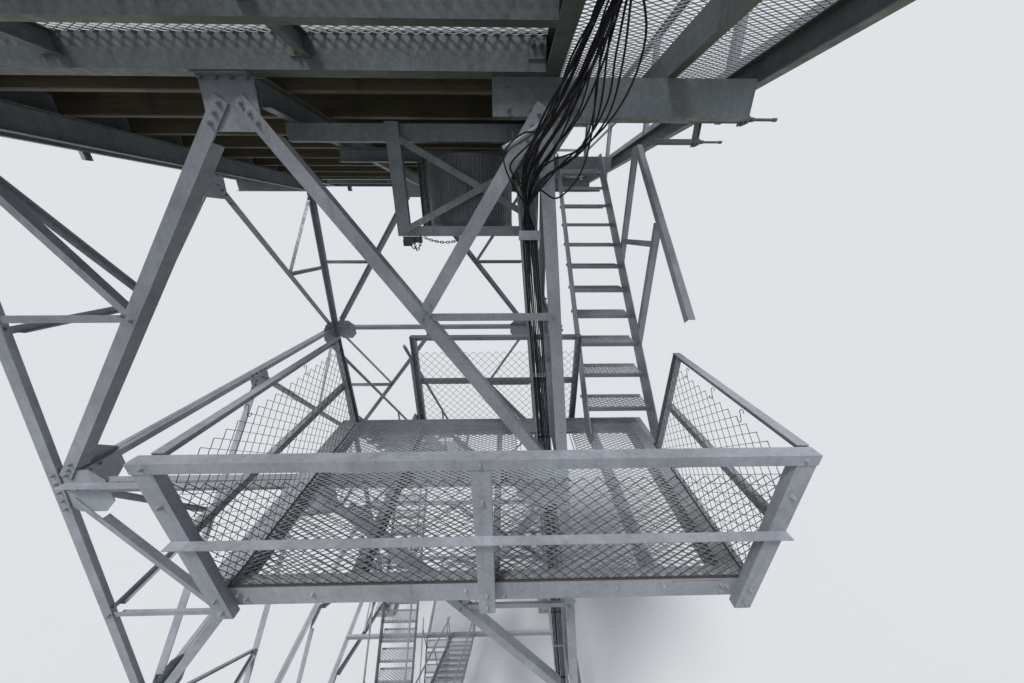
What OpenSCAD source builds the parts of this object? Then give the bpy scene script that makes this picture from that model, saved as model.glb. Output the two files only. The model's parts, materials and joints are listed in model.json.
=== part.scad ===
// Fire lookout tower: a square four-legged lattice of galvanised steel with switchback
// stairs inside, a fenced side balcony, a stair up to the walkway and a cab on the deck.
// The origin is the middle of the tower on the ground, the front face is towards -Y.

/* [Tower] */
// Width over the leg corners at the top
top_w = 4268; // [3600:1:4900]
// Height of one bracing panel
panel_h = 3320; // [3200:1:3500]
// How far each face leans out per unit of height
batter = 0.09; // [0.06:0.005:0.12]
// Width of the leg angles
leg_w = 102; // [80:1:130]
// Thickness of the leg angles and of the main braces
leg_t = 10; // [6:1:14]
// Width of the main brace angles
brace_w = 100; // [70:1:120]
// Width of the small brace angles
small_w = 62; // [45:1:75]
// Thickness of the small brace angles
small_t = 6; // [4:1:9]
// Thickness of the gusset plates
plate_t = 8; // [5:1:12]
// Size across the leg gusset plates
gusset = 470; // [380:1:560]
// Width of the plates at the tops of the braces
crown_w = 360; // [340:1:440]
// Reach of those plates below the joint of the braces
crown_drop = 260; // [230:1:290]
// Depth of the level angles, which stand back to back
ring_d = 100; // [80:1:120]
// Flange width of the level angles
ring_f = 65; // [50:1:75]
// How far the level angles reach above their level
ring_up = 140; // [130:1:160]

/* [Footings] */
// Side of a concrete footing
pier_w = 780; // [700:1:900]
// Height of a concrete footing above the ground
pier_h = 300; // [200:1:400]
// Thickness of the steel base plates
base_t = 25; // [15:1:40]
// Side of the steel base plates
base_w = 320; // [280:1:380]

/* [Deck] */
// Depth of the arms and beams under the deck
arm_d = 220; // [180:1:240]
// Reach of the arms from the middle of the tower
arm_reach = 3540; // [3480:1:3600]
// Inner end of the right-hand arms
arm_right = 1750; // [1700:1:1850]
// Inner end of the left-hand arms
arm_left = 1850; // [1750:1:1900]
// Place of the middle beam under the deck
spine_x = 170; // [120:1:240]
// Depth of the deck beams
deck_d = 180; // [150:1:200]
// Flange width of the deck beams
deck_f = 70; // [50:1:80]
// Flange width of the outriggers
rigger_f = 100; // [80:1:110]
// Thickness of the webs and flanges of all beams
beam_t = 8; // [6:1:10]
// Half width of the walkway across the tower
walk_x = 3660; // [3655:1:3720]
// Half depth of the walkway
walk_y = 3200; // [3100:1:3300]
// How far the outriggers stand outside the top of the tower
rigger_out = 66; // [50:1:100]
// Place of the walkway's middle stringers at the front and back
mid_y = 2700; // [2600:1:2800]
// Place of the walkway's middle stringers at the sides
mid_x = 2920; // [2860:1:3000]
// Place of the left stub under the front and back walkway
stub_left = -940; // [-1000:1:-880]
// Place of the right stub under the front and back walkway
stub_right = 580; // [520:1:640]
// Depth of the stubs
stub_d = 125; // [110:1:150]
// Spacing of the cab's timber joists
joist_gap = 534; // [500:1:560]
// Thickness of the timber joists
joist_t = 60; // [45:1:75]
// Thickness of the walkway grating
grate_t = 20; // [12:1:30]
// Thickness of the cab's plank floor
plank_t = 40; // [30:1:50]
// Height of the walkway's guard rail
rail_h = 1070; // [950:1:1150]
// Width of the guard rail's posts
post_w = 80; // [60:1:100]
// Reach of the posts below the deck beams
post_drop = 90; // [60:1:120]

/* [Cab] */
// Thickness of the cab's walls
wall_t = 100; // [70:1:140]
// Height of the cab's walls
wall_h = 2150; // [2100:1:2400]
// Height of the window sills above the floor
sill_h = 900; // [800:1:1000]
// Height of the window openings
window_h = 1080; // [900:1:1150]
// Width of the posts between the windows
mullion = 90; // [60:1:140]
// Thickness of the window glass
glass_t = 6; // [4:1:12]
// Height of the door knob
knob_h = 1000; // [900:1:1050]
// Width of the door opening
door_w = 760; // [700:1:850]
// Height of the door opening
door_h = 2000; // [1900:1:2060]
// Overhang of the roof
eave = 450; // [250:1:600]
// Rise of the roof from its eaves to its top
roof_rise = 760; // [500:1:1000]
// Thickness of the roof
roof_t = 60; // [40:1:90]

/* [Balcony] */
// Height of the balcony floor above its level beams
bal_rise = 180; // [160:1:200]
// Left fence of the balcony
bal_left = 83; // [60:1:110]
// Reach of the balcony's right fence beyond the tower
bal_right_out = 976; // [900:1:1010]
// Reach of the balcony's front fence beyond the tower
bal_front_out = 1053; // [950:1:1140]
// Reach of the balcony's back edge into the tower
bal_back_in = 687; // [660:1:710]
// Places of the joists under the balcony
bal_joist_1 = 830; // [780:1:880]
bal_joist_2 = 1730; // [1680:1:1780]
bal_joist_3 = 2750; // [2700:1:2800]
// Height of the balcony's guard rail
bal_rail_h = 1000; // [900:1:1100]
// Height of the balcony's middle rail
bal_mid_h = 470; // [400:1:550]
// Height of the wire fence
fence_h = 870; // [820:1:930]
// Width of the opening around the leg in the balcony floor
leg_hole = 520; // [480:1:560]
// Thickness of the wire fence
fence_t = 4; // [3:1:8]

/* [Stairs] */
// Width of the stairs inside the tower
stair_w = 700; // [640:1:740]
// Number of risers between two levels
risers = 14; // [13:1:16]
// Number of risers of the lowest flight
risers_low = 15; // [14:1:17]
// Edge of the back landings, where the flights meet them
land_back = 860; // [800:1:950]
// Edge of the front landing, where the flights meet it
land_front = 1950; // [1900:1:2050]
// Length of a landing
land_l = 1060; // [900:1:1100]
// Depth of the stair stringers
string_d = 170; // [140:1:200]
// Height of the stair handrails above the treads
hand_h = 900; // [800:1:1000]
// Diameter of the stair handrails
hand_d = 34; // [26:1:45]
// Foot of the upper stair, measured towards the front
upper_y = 2180; // [2150:1:2220]
// Number of risers of the upper stair
upper_risers = 12; // [11:1:14]
// Inner side of the upper stair
upper_x = 2670; // [2640:1:2700]
// Height of the upper stair's rail above the stair
upper_rail_h = 1280; // [1200:1:1320]
// Place of the lower post of that rail
rail_post_1 = 800; // [760:1:840]
// Place of the upper post of that rail
rail_post_2 = 1660; // [1620:1:1700]
// Reach of those posts over the rail's line
rail_post_over = 20; // [10:1:30]
// Height of the bar between those posts, below the rail
rail_bar_drop = 220; // [180:1:260]
// Length of the stairwell in the walkway
well_l = 2250; // [2100:1:2400]

/* [Equipment] */
// Diameter of the ribbed drum
drum_d = 780; // [700:1:790]
// Height of the drum
drum_h = 560; // [500:1:600]
// Number of ribs around the drum
drum_ribs = 64; // [40:1:72]
// Left side of the drum's cradle
cradle_x = 905; // [880:1:940]
// Width of the drum's cradle
cradle_w = 1205; // [1160:1:1210]
// Front of the drum's cradle, measured towards the front
cradle_y = 1860; // [1820:1:1880]
// Depth of the drum's cradle from front to back
cradle_l = 900; // [895:1:960]
// Depth of the middle beam under the deck
spine_d = 170; // [150:1:190]
// Depth of the cross beams that carry the cradle
hang_d = 120; // [100:1:130]
// Height of the bottom of the cradle below the top of the middle beam
cradle_drop = 1000; // [985:1:1020]
// Width of the cradle's posts
cradle_post = 105; // [90:1:120]
// Depth of the cradle's bottom beams
cradle_d = 82; // [75:1:95]
// Width of the cradle's flat cross bars
cross_w = 50; // [40:1:60]
// Height of the foot of the cable ladder
ladder_foot = 400; // [350:1:450]
// Distance of the cable ladder from the corner of the leg
ladder_in = 130; // [120:1:150]
// Width of the cable ladder
ladder_w = 140; // [100:1:160]
// Diameter of one cable
cable_d = 22; // [14:1:24]
// Diameter of the bundle above the ladder
bundle_d = 70; // [60:1:80]
// Diameter of the pipe of an instrument arm
mast_d = 48; // [38:1:60]
// Place of the front instrument arm, measured towards the front
mast_front = 1970; // [1930:1:2000]
// Place of the back instrument arm, measured towards the front
mast_back = 1370; // [1330:1:1400]
// Length of the thick part of an instrument arm inside the edge beam
mast_in = 440; // [380:1:500]
// Drop of the instrument arms below the deck beams
mast_drop = 180; // [150:1:200]
// Reach of the instrument arms from the middle
mast_reach = 3860; // [3800:1:3900]

/* [Hidden] */

// Clearance between pieces that seat on each other
fit = 0.3;
// In-plane space between the end of a brace and the piece beside it
end_gap = 12;
panels = 5;
top_half = top_w / 2;
cab_w = top_w;
rigger_x = top_half + rigger_out;
brace_t = leg_t + 1;
plate_out = -brace_t - fit;
plate_in = plate_out - plate_t;
deck_top = panels * panel_h;
foot_half = top_half + batter * deck_top;
tilt = atan(batter);
arm_top = deck_top - 20;
arm_bottom = arm_top - arm_d;
beam_top = arm_top + deck_d;
walk_top = beam_top + grate_t;
floor_top = beam_top + plank_t;
seat_t = 12;
foot_top = pier_h + base_t;
land_rise = ring_up + bal_rise;
bal_floor = 4 * panel_h + land_rise;
bal_steel = bal_floor - grate_h();
bal_right = half(bal_floor) + bal_right_out;
bal_front = half(bal_floor) + bal_front_out;
bal_back = half(bal_floor) - bal_back_in;
galv = [0.62, 0.64, 0.66];
galv_dark = [0.45, 0.47, 0.49];
rust = [0.36, 0.27, 0.22];

function grate_h() = 10;
function half(z) = foot_half - batter * z;
function up(z) = z / cos(tilt);
function heel(v) = foot_half - v * sin(tilt);

// Height along the face of the joint at the bottom of panel i, of the steel above it, and of
// the top of its gusset plates
function node_v(i) = i == 0 ? up(foot_top + 190) : up(i * panel_h) + 45;
function floor_v(i) = i == 0 ? up(foot_top + 30) : up(i * panel_h + ring_up);
function gusset_v(i) = i == 0 ? up(foot_top + 20) + gusset / 2 : node_v(i);
// Height of the steel that the top braces of face k hang from
function crown_z(k) = k % 2 == 0 ? arm_top : arm_bottom;
// Height along face k of the top joint of panel i, and of the steel above the braces
function apex_v(i, k) = i == panels - 1 ? up(crown_z(k)) - 60 : up((i + 1) * panel_h) + 45;
function roof_v(i, k) =
    i == panels - 1 ? up(crown_z(k)) - 20 : up((i + 1) * panel_h + ring_up) - ring_d;
// Height along a face of the level z at depth w
function level_v(z, w) = up(z) - w * tan(tilt);

// Puts a piece drawn in a face's own plane on face k: 0 front, 1 right, 2 back, 3 left
module face(k)
    rotate([0, 0, 90 * k]) translate([0, -foot_half, 0]) rotate([90 - tilt, 0, 0]) children();

// Extrudes an outline drawn across and up along X, or along Y
module along_x(x0, x1)
    translate([x0, 0, 0]) rotate([90, 0, 90]) linear_extrude(x1 - x0) children();
module along_y(y0, y1)
    translate([0, y1, 0]) rotate([90, 0, 0]) linear_extrude(y1 - y0) children();

// Channel outline: the web stands at 0 and the flanges point to the side of dir
module channel_2d(depth, flange, dir, t = beam_t)
    polygon([[0, 0], [dir * flange, 0], [dir * flange, t], [dir * t, t],
        [dir * t, depth - t], [dir * flange, depth - t], [dir * flange, depth], [0, depth]]);

// I-beam outline, standing on the middle of its lower flange
module ibeam_2d(depth, flange, t = beam_t)
    polygon([[-flange / 2, 0], [flange / 2, 0], [flange / 2, t], [t / 2, t],
        [t / 2, depth - t], [flange / 2, depth - t], [flange / 2, depth],
        [-flange / 2, depth], [-flange / 2, depth - t], [-t / 2, depth - t], [-t / 2, t],
        [-flange / 2, t]]);

// Angle outline: flanges along both axes from the corner, signs give the directions
module angle_2d(a, sx, sy, t = small_t)
    polygon([[0, 0], [sx * a, 0], [sx * a, sy * t], [sx * t, sy * t], [sx * t, sy * a],
        [0, sy * a]]);

// Angle bar in a face's plane from p, turned by dir, with its flat flange under depth w0
// and its outstanding flange on side (1 left of the direction, -1 right)
module face_bar(p, dir, s0, s1, w, t, w0, side, cope0 = 0, cope1 = 0)
    translate([p[0], p[1], 0]) rotate([0, 0, dir]) {
        translate([s0, -w / 2, w0 - t]) cube([s1 - s0, w, t]);
        translate([s0 + cope0, side > 0 ? w / 2 - t : -w / 2, w0 - w])
            cube([s1 - s0 - cope0 - cope1, t, w]);
    }

// One side of panel i of face k: the main brace, its horizontal and its sub-diagonal, joined.
// The main brace's outstanding flange is at its upper edge for side 1, at its lower for -1.
// A heavy sub-diagonal is a bar of its own, bolted over the brace and the leg.
module half_panel(i, k, side, heavy = false) {
    top = [0, apex_v(i, k)];
    low = [heel(node_v(i)) - leg_w / 2, node_v(i)];
    run = low - top;
    dir = atan2(run[1], run[0]);
    s = -sin(dir);
    c = cos(dir);
    start = max((top[1] - roof_v(i, k) + end_gap + brace_w / 2 * c) / s,
        (end_gap + brace_w / 2 * s) / c);
    // Distance along the brace at which its corner meets the leg, or the beam below
    lean = [cos(tilt), sin(tilt)];
    to_leg = (heel(top[1]) * lean[0] - leg_w - end_gap
        - brace_w / 2 * abs(s * lean[0] + c * lean[1])) / (c * lean[0] - s * lean[1]);
    to_floor = (top[1] - floor_v(i) - end_gap - brace_w / 2 * c) / s;
    stop = min(to_leg, to_floor);
    // The outstanding flange is cut back clear of the plates at both ends
    cope_top = min((crown_drop + brace_w / 2 * c) / s, (crown_w / 2 + brace_w / 2 * s) / c)
        - start + end_gap;
    cope_low = (gusset_v(i) + gusset / 2 - node_v(i) + brace_w / 2 * c) / s
        - (norm(run) - stop) + end_gap;
    face_bar(top, dir, start, stop, brace_w, brace_t, 0, side, cope_top, cope_low);
    mid = top + run * (start + stop) / 2 / norm(run);
    leg_mid = heel(mid[1]) - 25;
    face_bar(mid, 0, -5, leg_mid - mid[0], small_w, small_t, -leg_t - fit, -1, 0, leg_w);
    at_top = i == panels - 1;
    sub_v = heavy ? up(arm_bottom) + 60 : at_top ? up(arm_bottom) - 80 : roof_v(i, k) - 80;
    inset = heavy ? leg_w / 2 : at_top ? small_w : leg_w + end_gap + small_w / 2;
    sub = [heel(sub_v) - inset, sub_v] - mid;
    sub_dir = atan2(sub[1], sub[0]);
    if (heavy)
        face_bar(mid, sub_dir, 10, norm(sub), brace_w, small_t, small_t + fit, 1, 150,
            leg_w + 70);
    else if (at_top)
        face_bar(mid, sub_dir, 10, norm(sub), small_w, small_t, -leg_t - 2 * fit, 1, 0,
            leg_w + 20);
    else
        face_bar(mid, sub_dir, 10, norm(sub), small_w, small_t, fit - brace_t + small_t, 1, 0,
            gusset / 2 + 60);
}

module bracing(k)
    color(galv) face(k) for (i = [0:panels - 1]) {
        half_panel(i, k, 1, k == 0 && i == panels - 1);
        mirror([1, 0, 0]) half_panel(i, k, -1);
    }

// Plate with its corners cut, centred on p, behind the flanges of a face
module cut_plate(p, w, h, cut)
    translate([p[0], p[1], plate_in]) linear_extrude(plate_t)
        polygon([[-w / 2 + cut, -h / 2], [w / 2 - cut, -h / 2], [w / 2, -h / 2 + cut],
            [w / 2, h / 2 - cut], [w / 2 - cut, h / 2], [-w / 2 + cut, h / 2],
            [-w / 2, h / 2 - cut], [-w / 2, -h / 2 + cut]]);

// Plate behind the top of the braces, with a seat from depth w0 to w1 that hangs it from the
// deck beam above
module crown_plate(z, w0, w1) {
    t = 10;
    low = up(z) - 60 - crown_drop;
    along_x(-crown_w / 2, crown_w / 2) {
        polygon([[low, plate_in], [low, plate_out], [level_v(z - fit, plate_out), plate_out],
            [level_v(z - fit, plate_in), plate_in]]);
        polygon([[level_v(z - fit, w0), w0], [level_v(z - fit, w1), w1],
            [level_v(z - fit - t, w1), w1], [level_v(z - fit - t, w0), w0]]);
    }
}

module gusset_plates()
    color(galv) for (k = [0:3]) face(k) {
        for (i = [0:panels - 1], side = [-1, 1])
            cut_plate([side * (heel(gusset_v(i)) - 36 - gusset / 2), gusset_v(i)], gusset,
                gusset, gusset / 4);
        for (i = [0:panels - 2]) {
            v1 = up((i + 1) * panel_h + ring_up) - beam_t - fit;
            v0 = apex_v(i, k) - crown_drop;
            cut_plate([0, (v0 + v1) / 2], crown_w, v1 - v0, 30);
        }
        if (k % 2 == 0)
            crown_plate(arm_top, rigger_x - rigger_f - half(arm_top), rigger_x - 20 - half(arm_top));
        else
            crown_plate(arm_bottom, half(arm_top) - deck_f - half(arm_bottom), plate_out);
    }

// One flange of a leg in its face's plane; trim keeps it inside the other flange
module leg_flange(trim) {
    v0 = up(foot_top + leg_t * batter) + fit;
    v1 = up(arm_bottom - seat_t) - fit;
    w = leg_w / cos(tilt);
    translate([0, 0, -leg_t]) linear_extrude(leg_t)
        polygon([[heel(v0) - trim, v0], [heel(v1) - trim, v1], [heel(v1) - w, v1],
            [heel(v0) - w, v0]]);
}

module leg(k)
    color(galv) {
        face(k) leg_flange(leg_t / 2);
        face(k + 1) mirror([1, 0, 0]) leg_flange(0);
        rotate([0, 0, 90 * k]) {
            b = half(foot_top) - base_w / 2 + 60;
            translate([b - base_w / 2, -b - base_w / 2, pier_h + fit])
                cube([base_w, base_w, base_t - fit]);
            h = half(arm_bottom);
            translate([h - leg_w - 40, -h, arm_bottom - seat_t])
                cube([leg_w + 40, leg_w + 40, seat_t - fit]);
        }
    }

module footings()
    color([0.62, 0.6, 0.56]) for (k = [0:3]) rotate([0, 0, 90 * k]) {
        c = half(foot_top) - 60;
        translate([c - pier_w / 2, -c - pier_w / 2, 0]) cube([pier_w, pier_w, pier_h]);
    }

// Two angles back to back on each face, with the plates between them and level top flanges
module level_beams(i)
    color(galv) for (k = [0:3]) face(k) {
        z = i * panel_h + ring_up;
        low = up(z) - ring_d;
        u = heel(up(z)) - leg_w - end_gap;
        out = -brace_t + beam_t;
        back = plate_in - fit;
        along_x(-u, u)
            polygon([[low, -brace_t], [low, out], [level_v(z - beam_t, out), out],
                [level_v(z - beam_t, out + ring_f), out + ring_f],
                [level_v(z, out + ring_f), out + ring_f], [level_v(z, -brace_t), -brace_t]]);
        along_x(-u, u)
            polygon([[low, back], [level_v(z, back), back], [level_v(z, back - ring_f), back - ring_f],
                [level_v(z - beam_t, back - ring_f), back - ring_f],
                [level_v(z - beam_t, back - beam_t), back - beam_t], [low, back - beam_t]]);
    }

// Arms at the four corners, side beams between them and a middle beam from front to back
module deck_arms()
    color(galv_dark) {
        web = half(arm_top);
        for (s = [-1, 1]) {
            along_x(arm_right, arm_reach) translate([s * web, arm_bottom])
                channel_2d(arm_d, deck_f, -s);
            along_x(-arm_reach, -arm_left) translate([s * web, arm_bottom])
                channel_2d(arm_d, deck_f, -s);
            y = web - deck_f - fit;
            along_y(-y, y) translate([s * web, arm_bottom]) channel_2d(arm_d, deck_f, -s);
        }
        spine = rigger_x - rigger_f - fit;
        along_y(-spine, spine) translate([spine_x, arm_top - spine_d])
            channel_2d(spine_d, deck_f, 1);
    }

module deck_outriggers()
    color(galv_dark) for (s = [-1, 1]) {
        y = walk_y - deck_f - fit;
        along_y(-y, y) translate([s * rigger_x, arm_top + fit])
            channel_2d(deck_d - fit, rigger_f, -s);
        x = rigger_x - rigger_f - fit;
        along_x(-x, x) translate([s * rigger_x, arm_top + fit])
            channel_2d(deck_d - fit, rigger_f, -s);
    }

module deck_edge_beams()
    color(galv_dark) for (s = [-1, 1]) {
        along_y(-walk_y, walk_y)
            translate([s * walk_x, arm_top + fit]) channel_2d(deck_d - fit, deck_f, -s);
        x = walk_x - deck_f - fit;
        along_x(-x, x) translate([s * walk_y, arm_top + fit]) channel_2d(deck_d - fit, deck_f, -s);
    }

// Stairwell in the right-hand walkway: its far edge carries the top of the upper stair
well_y1 = -upper_y + walk_top - bal_floor + fit;
well_y0 = well_y1 - well_l;

module stringer_y(x, y0, y1)
    along_y(y0, y1) translate([x, arm_top + fit]) channel_2d(deck_d - fit, deck_f - 10, 1);
module stringer_x(y, x0, x1)
    along_x(x0, x1) translate([y, arm_top + fit]) channel_2d(deck_d - fit, deck_f - 10, 1);

module stub_y(x, y0, y1)
    along_y(y0, y1) translate([x, beam_top - stub_d]) channel_2d(stub_d, 50, 1);

module deck_stringers()
    color(galv_dark) {
        end = walk_y - deck_f - fit;
        stringer_y(-mid_x, -end, end);
        stringer_y(mid_x, -end, well_y0 - 60 - fit);
        stringer_y(mid_x, well_y1 + 60 + fit, end);
        in0 = rigger_x + fit;
        in1 = walk_x - deck_f - fit;
        stringer_x(well_y0 - 60, in0, in1);
        stringer_x(well_y1, in0, in1);
        x = rigger_x - rigger_f - fit;
        for (s = [-1, 1]) {
            stringer_x(s * mid_y, -x, x);
            for (stub = [stub_left, stub_right]) {
                y0 = rigger_x + fit;
                y1 = mid_y + (s > 0 ? 0 : -60) - fit;
                y2 = mid_y + (s > 0 ? 60 : 0) + fit;
                stub_y(stub, s > 0 ? y0 : -y1, s > 0 ? y1 : -y0);
                stub_y(stub, s > 0 ? y2 : -end, s > 0 ? end : -y2);
            }
        }
    }

// Timber joists from side to side, on the side beams and the middle beam
module cab_joists()
    color([0.36, 0.33, 0.2]) {
        x = rigger_x - rigger_f - fit;
        n = floor((x - joist_t) / joist_gap - 0.5);
        for (i = [-n - 1:n]) translate([-x, (i + 0.5) * joist_gap - joist_t / 2, arm_top + fit])
            cube([2 * x, joist_t, deck_d - fit]);
    }

module cab_floor()
    color([0.42, 0.33, 0.22]) translate([-top_half, -top_half, beam_top + fit])
        cube([top_w, top_w, plank_t - fit]);

module walkway_grating()
    color(galv) translate([0, 0, beam_top + fit]) {
        in = top_half + 6;
        h = grate_t - fit;
        for (s = [-1, 1]) translate([-walk_x + 10, s > 0 ? in : -walk_y + 10, 0])
            cube([2 * walk_x - 20, walk_y - in - 10, h]);
        w = walk_x - in - 10;
        translate([-walk_x + 10, -in + 4, 0]) cube([w, 2 * in - 8, h]);
        translate([in, -in + 4, 0]) cube([w, well_y0 + in - 4, h]);
        translate([in, well_y1, 0]) cube([w, in - 4 - well_y1, h]);
        translate([in, well_y0 + 4, 0]) cube([upper_x - 40 - in, well_y1 - well_y0 - 8, h]);
    }

// One straight guard rail from 0 to len, above the walkway from height 0: channel posts that
// reach down past the deck beam, top rail, middle rail and kick plate
module guard(len, bays) {
    depth = 50;
    drop = walk_top - arm_top + post_drop;
    for (i = [0:bays]) translate([i * (len - post_w) / bays, 0, -drop]) difference() {
        cube([post_w, depth, rail_h + drop - small_t]);
        translate([small_t, small_t, -1])
            cube([post_w - 2 * small_t, depth, rail_h + drop]);
    }
    translate([0, -small_t, rail_h - small_w]) cube([len, small_t, small_w]);
    translate([0, -small_t, rail_h - small_t]) cube([len, small_w, small_t]);
    translate([0, -small_t, rail_h / 2]) cube([len, small_t, depth]);
    translate([0, -small_t, rail_h / 2]) cube([len, depth, small_t]);
    translate([0, -small_t, 15]) cube([len, small_t, 100]);
}

module walkway_railing()
    color(galv) translate([0, 0, walk_top]) {
        x = walk_x + fit + 50;
        y = walk_y + fit + 50;
        for (s = [0, 1]) rotate([0, 0, 180 * s]) {
            translate([-x, -y, 0]) guard(2 * x, 4);
            translate([x, -walk_y, 0]) rotate([0, 0, 90]) guard(2 * walk_y, 4);
        }
    }

// Wall in the XZ plane, from 0 to len, with a row of window openings
module wall(len, corner, windows, door_at = -1) {
    w = (len - 2 * corner - (windows - 1) * mullion) / windows;
    difference() {
        cube([len, wall_t, wall_h]);
        for (i = [0:windows - 1]) {
            x = corner + i * (w + mullion);
            if (door_at < 0 || x + w < door_at - 40 || x > door_at + door_w + 40)
                translate([x, -1, sill_h]) cube([w, wall_t + 2, window_h]);
        }
        if (door_at >= 0)
            translate([door_at, -1, -1]) cube([door_w, wall_t + 2, door_h + 1]);
    }
}

module panes(len, corner, windows, door_at = -1) {
    w = (len - 2 * corner - (windows - 1) * mullion) / windows;
    for (i = [0:windows - 1]) {
        x = corner + i * (w + mullion);
        if (door_at < 0 || x + w < door_at - 40 || x > door_at + door_w + 40)
            translate([x + fit, wall_t / 2 - glass_t / 2, sill_h + fit])
                cube([w - 2 * fit, glass_t, window_h - 2 * fit]);
    }
}

corner_w = 180;
side_len = cab_w - 2 * wall_t - 2 * fit;
side_corner = corner_w - wall_t;
door_at = side_len - side_corner - door_w - 20;

// Places a wall on side k of the cab; the side walls fit between the front and back ones
module cab_side(k) {
    len = k % 2 == 0 ? cab_w : side_len;
    rotate([0, 0, 90 * k]) translate([-len / 2, -cab_w / 2, floor_top + fit]) children();
}

module cab_wall(k)
    color([0.72, 0.73, 0.7]) cab_side(k)
        wall(k % 2 == 0 ? cab_w : side_len, k % 2 == 0 ? corner_w : side_corner, 4,
            k == 1 ? door_at : -1);

module cab_glass()
    color([0.6, 0.7, 0.75, 0.5]) {
        for (k = [0:3]) cab_side(k)
            panes(k % 2 == 0 ? cab_w : side_len, k % 2 == 0 ? corner_w : side_corner, 4,
                k == 1 ? door_at : -1);
        cab_side(1) translate([door_at + light_x + 2 * fit, 39, light_z + 3 + fit])
            cube([light_w - 2 * fit, glass_t, light_h - 2 * fit]);
    }

// The light in the door leaf: its place and size
light_x = 130;
light_w = door_w - 266;
light_z = sill_h + 60;
light_h = 800;

module cab_door()
    color([0.5, 0.52, 0.5]) cab_side(1) translate([door_at + fit, 20, 3]) {
        difference() {
            cube([door_w - 3, 45, door_h - 6]);
            translate([light_x, -1, light_z]) cube([light_w, 47, light_h]);
        }
        translate([60, -40, knob_h]) rotate([-90, 0, 0]) cylinder(d = 50, h = 40, $fn = 24);
    }

module roof_form(half_w, rise, z)
    hull() {
        translate([-half_w, -half_w, z]) cube([2 * half_w, 2 * half_w, roof_t]);
        translate([-100, -100, z + rise]) cube([200, 200, roof_t]);
    }

module cab_roof()
    color([0.4, 0.42, 0.4]) {
        z = floor_top + wall_h + 2 * fit;
        h = cab_w / 2 + eave;
        in = cab_w / 2 - wall_t - 10;
        difference() {
            roof_form(h, roof_rise, z);
            translate([0, 0, -roof_t * 2]) roof_form(in, roof_rise, z);
        }
        translate([0, 0, z + roof_rise + roof_t / 2]) cylinder(d = 160, h = 150, $fn = 32);
    }

module balcony_frame()
    color(galv) {
        z = 4 * panel_h + ring_up + fit;
        h = bal_steel - z;
        x0 = bal_left - 123;
        y0 = -bal_front + 50;
        along_x(x0, bal_right) translate([y0, z]) channel_2d(h, 70, 1);
        along_x(x0, bal_right) translate([-bal_back, z]) channel_2d(h, 70, -1);
        for (x = [bal_left - 43, bal_right - 80])
            along_y(y0 + 70 + fit, -bal_back - 70 - fit) translate([x, z]) ibeam_2d(h, 160);
        for (x = [bal_joist_1, bal_joist_2, bal_joist_3])
            along_y(y0 + beam_t + fit, -bal_back - beam_t - fit)
                translate([x, z + beam_t + fit]) channel_2d(h - 2 * beam_t - 2 * fit, 50, 1);
    }

module balcony_floor()
    color(galv) {
        x0 = bal_left + 60;
        hole = half(bal_floor);
        difference() {
            translate([x0, -bal_front + 60, bal_steel + fit])
                cube([bal_right - 60 - x0, bal_front - bal_back - 70, grate_h() - fit]);
            translate([hole - leg_hole + 90, -hole - 90, bal_steel - 1])
                cube([leg_hole, leg_hole, grate_h() + 2]);
        }
    }

// Posts and rails of one fence side along X, from 0 to len, outer face at 0, back towards +Y
module fence_side(len, posts, post_w, drop) {
    for (x = posts) translate([x, 0, -drop]) difference() {
        cube([post_w, 50, bal_rail_h + drop - small_t]);
        translate([small_t, small_t, -1])
            cube([post_w - 2 * small_t, 50, bal_rail_h + drop - small_t + 2]);
    }
    translate([0, -small_t, bal_rail_h - small_w]) cube([len, small_t, small_w]);
    translate([0, -small_t, bal_rail_h - small_t]) cube([len, small_w, small_t]);
    translate([0, -small_t, bal_mid_h - 50]) cube([len, small_t, 50]);
    translate([0, -50, bal_mid_h - small_t]) cube([len, 50, small_t]);
}

back_rail_x0 = bal_joist_1;
back_rail_x1 = upper_x - 50;

module balcony_railing()
    color(galv) translate([0, 0, bal_floor]) {
        w = bal_right - bal_left + 50;
        translate([bal_left - 50, -bal_front, 0])
            fence_side(w, [0, w / 2 - 50, w - 100], 100, bal_rise + 45);
        len = bal_front - bal_back - 70;
        translate([bal_left, -bal_back, 0]) rotate([0, 0, -90])
            fence_side(len, [0], 60, grate_h() - fit);
        right = bal_front - 70 - upper_y - fit;
        translate([bal_right, -bal_front + 70, 0]) rotate([0, 0, 90])
            fence_side(right, [right - 60], 60, grate_h() - fit);
        b = back_rail_x1 - back_rail_x0;
        translate([back_rail_x1, -bal_back + 50 + fit, 0]) rotate([0, 0, 180])
            fence_side(b, [0, b - 60], 60, bal_rise - 20);
    }

module balcony_fence()
    color(rust) translate([0, 0, bal_floor + fit]) {
        translate([bal_left - 35, -bal_front + 50 + fit, 0])
            cube([bal_right - bal_left + 20, fence_t, fence_h]);
        y0 = -bal_front + 50 + fence_t + 2 * fit;
        len = -bal_back - 10 - y0;
        translate([bal_left + 50 + fit, y0, 0]) cube([fence_t, len, fence_h]);
        translate([bal_right - 50 - fit - fence_t, y0, 0])
            cube([fence_t, -upper_y - fit - y0, fence_h]);
        difference() {
            translate([back_rail_x0, -bal_back - fence_t, 0])
                cube([back_rail_x1 - back_rail_x0, fence_t, fence_h]);
            brace_hole();
        }
    }

// Space for the right face's brace, where it passes through the back fence of the balcony
module brace_hole() {
    i = panels - 1;
    reach = heel(node_v(i)) - leg_w / 2;
    v = apex_v(i, 1) - (apex_v(i, 1) - node_v(i)) * bal_back / reach;
    z = v * cos(tilt);
    h = 2 * brace_w + 2 * end_gap;
    translate([half(z) - brace_w - 2 * end_gap, -bal_back - 2 * fence_t, z - bal_floor - h / 2])
        cube([brace_w + 4 * end_gap, 3 * fence_t, h]);
}

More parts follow.
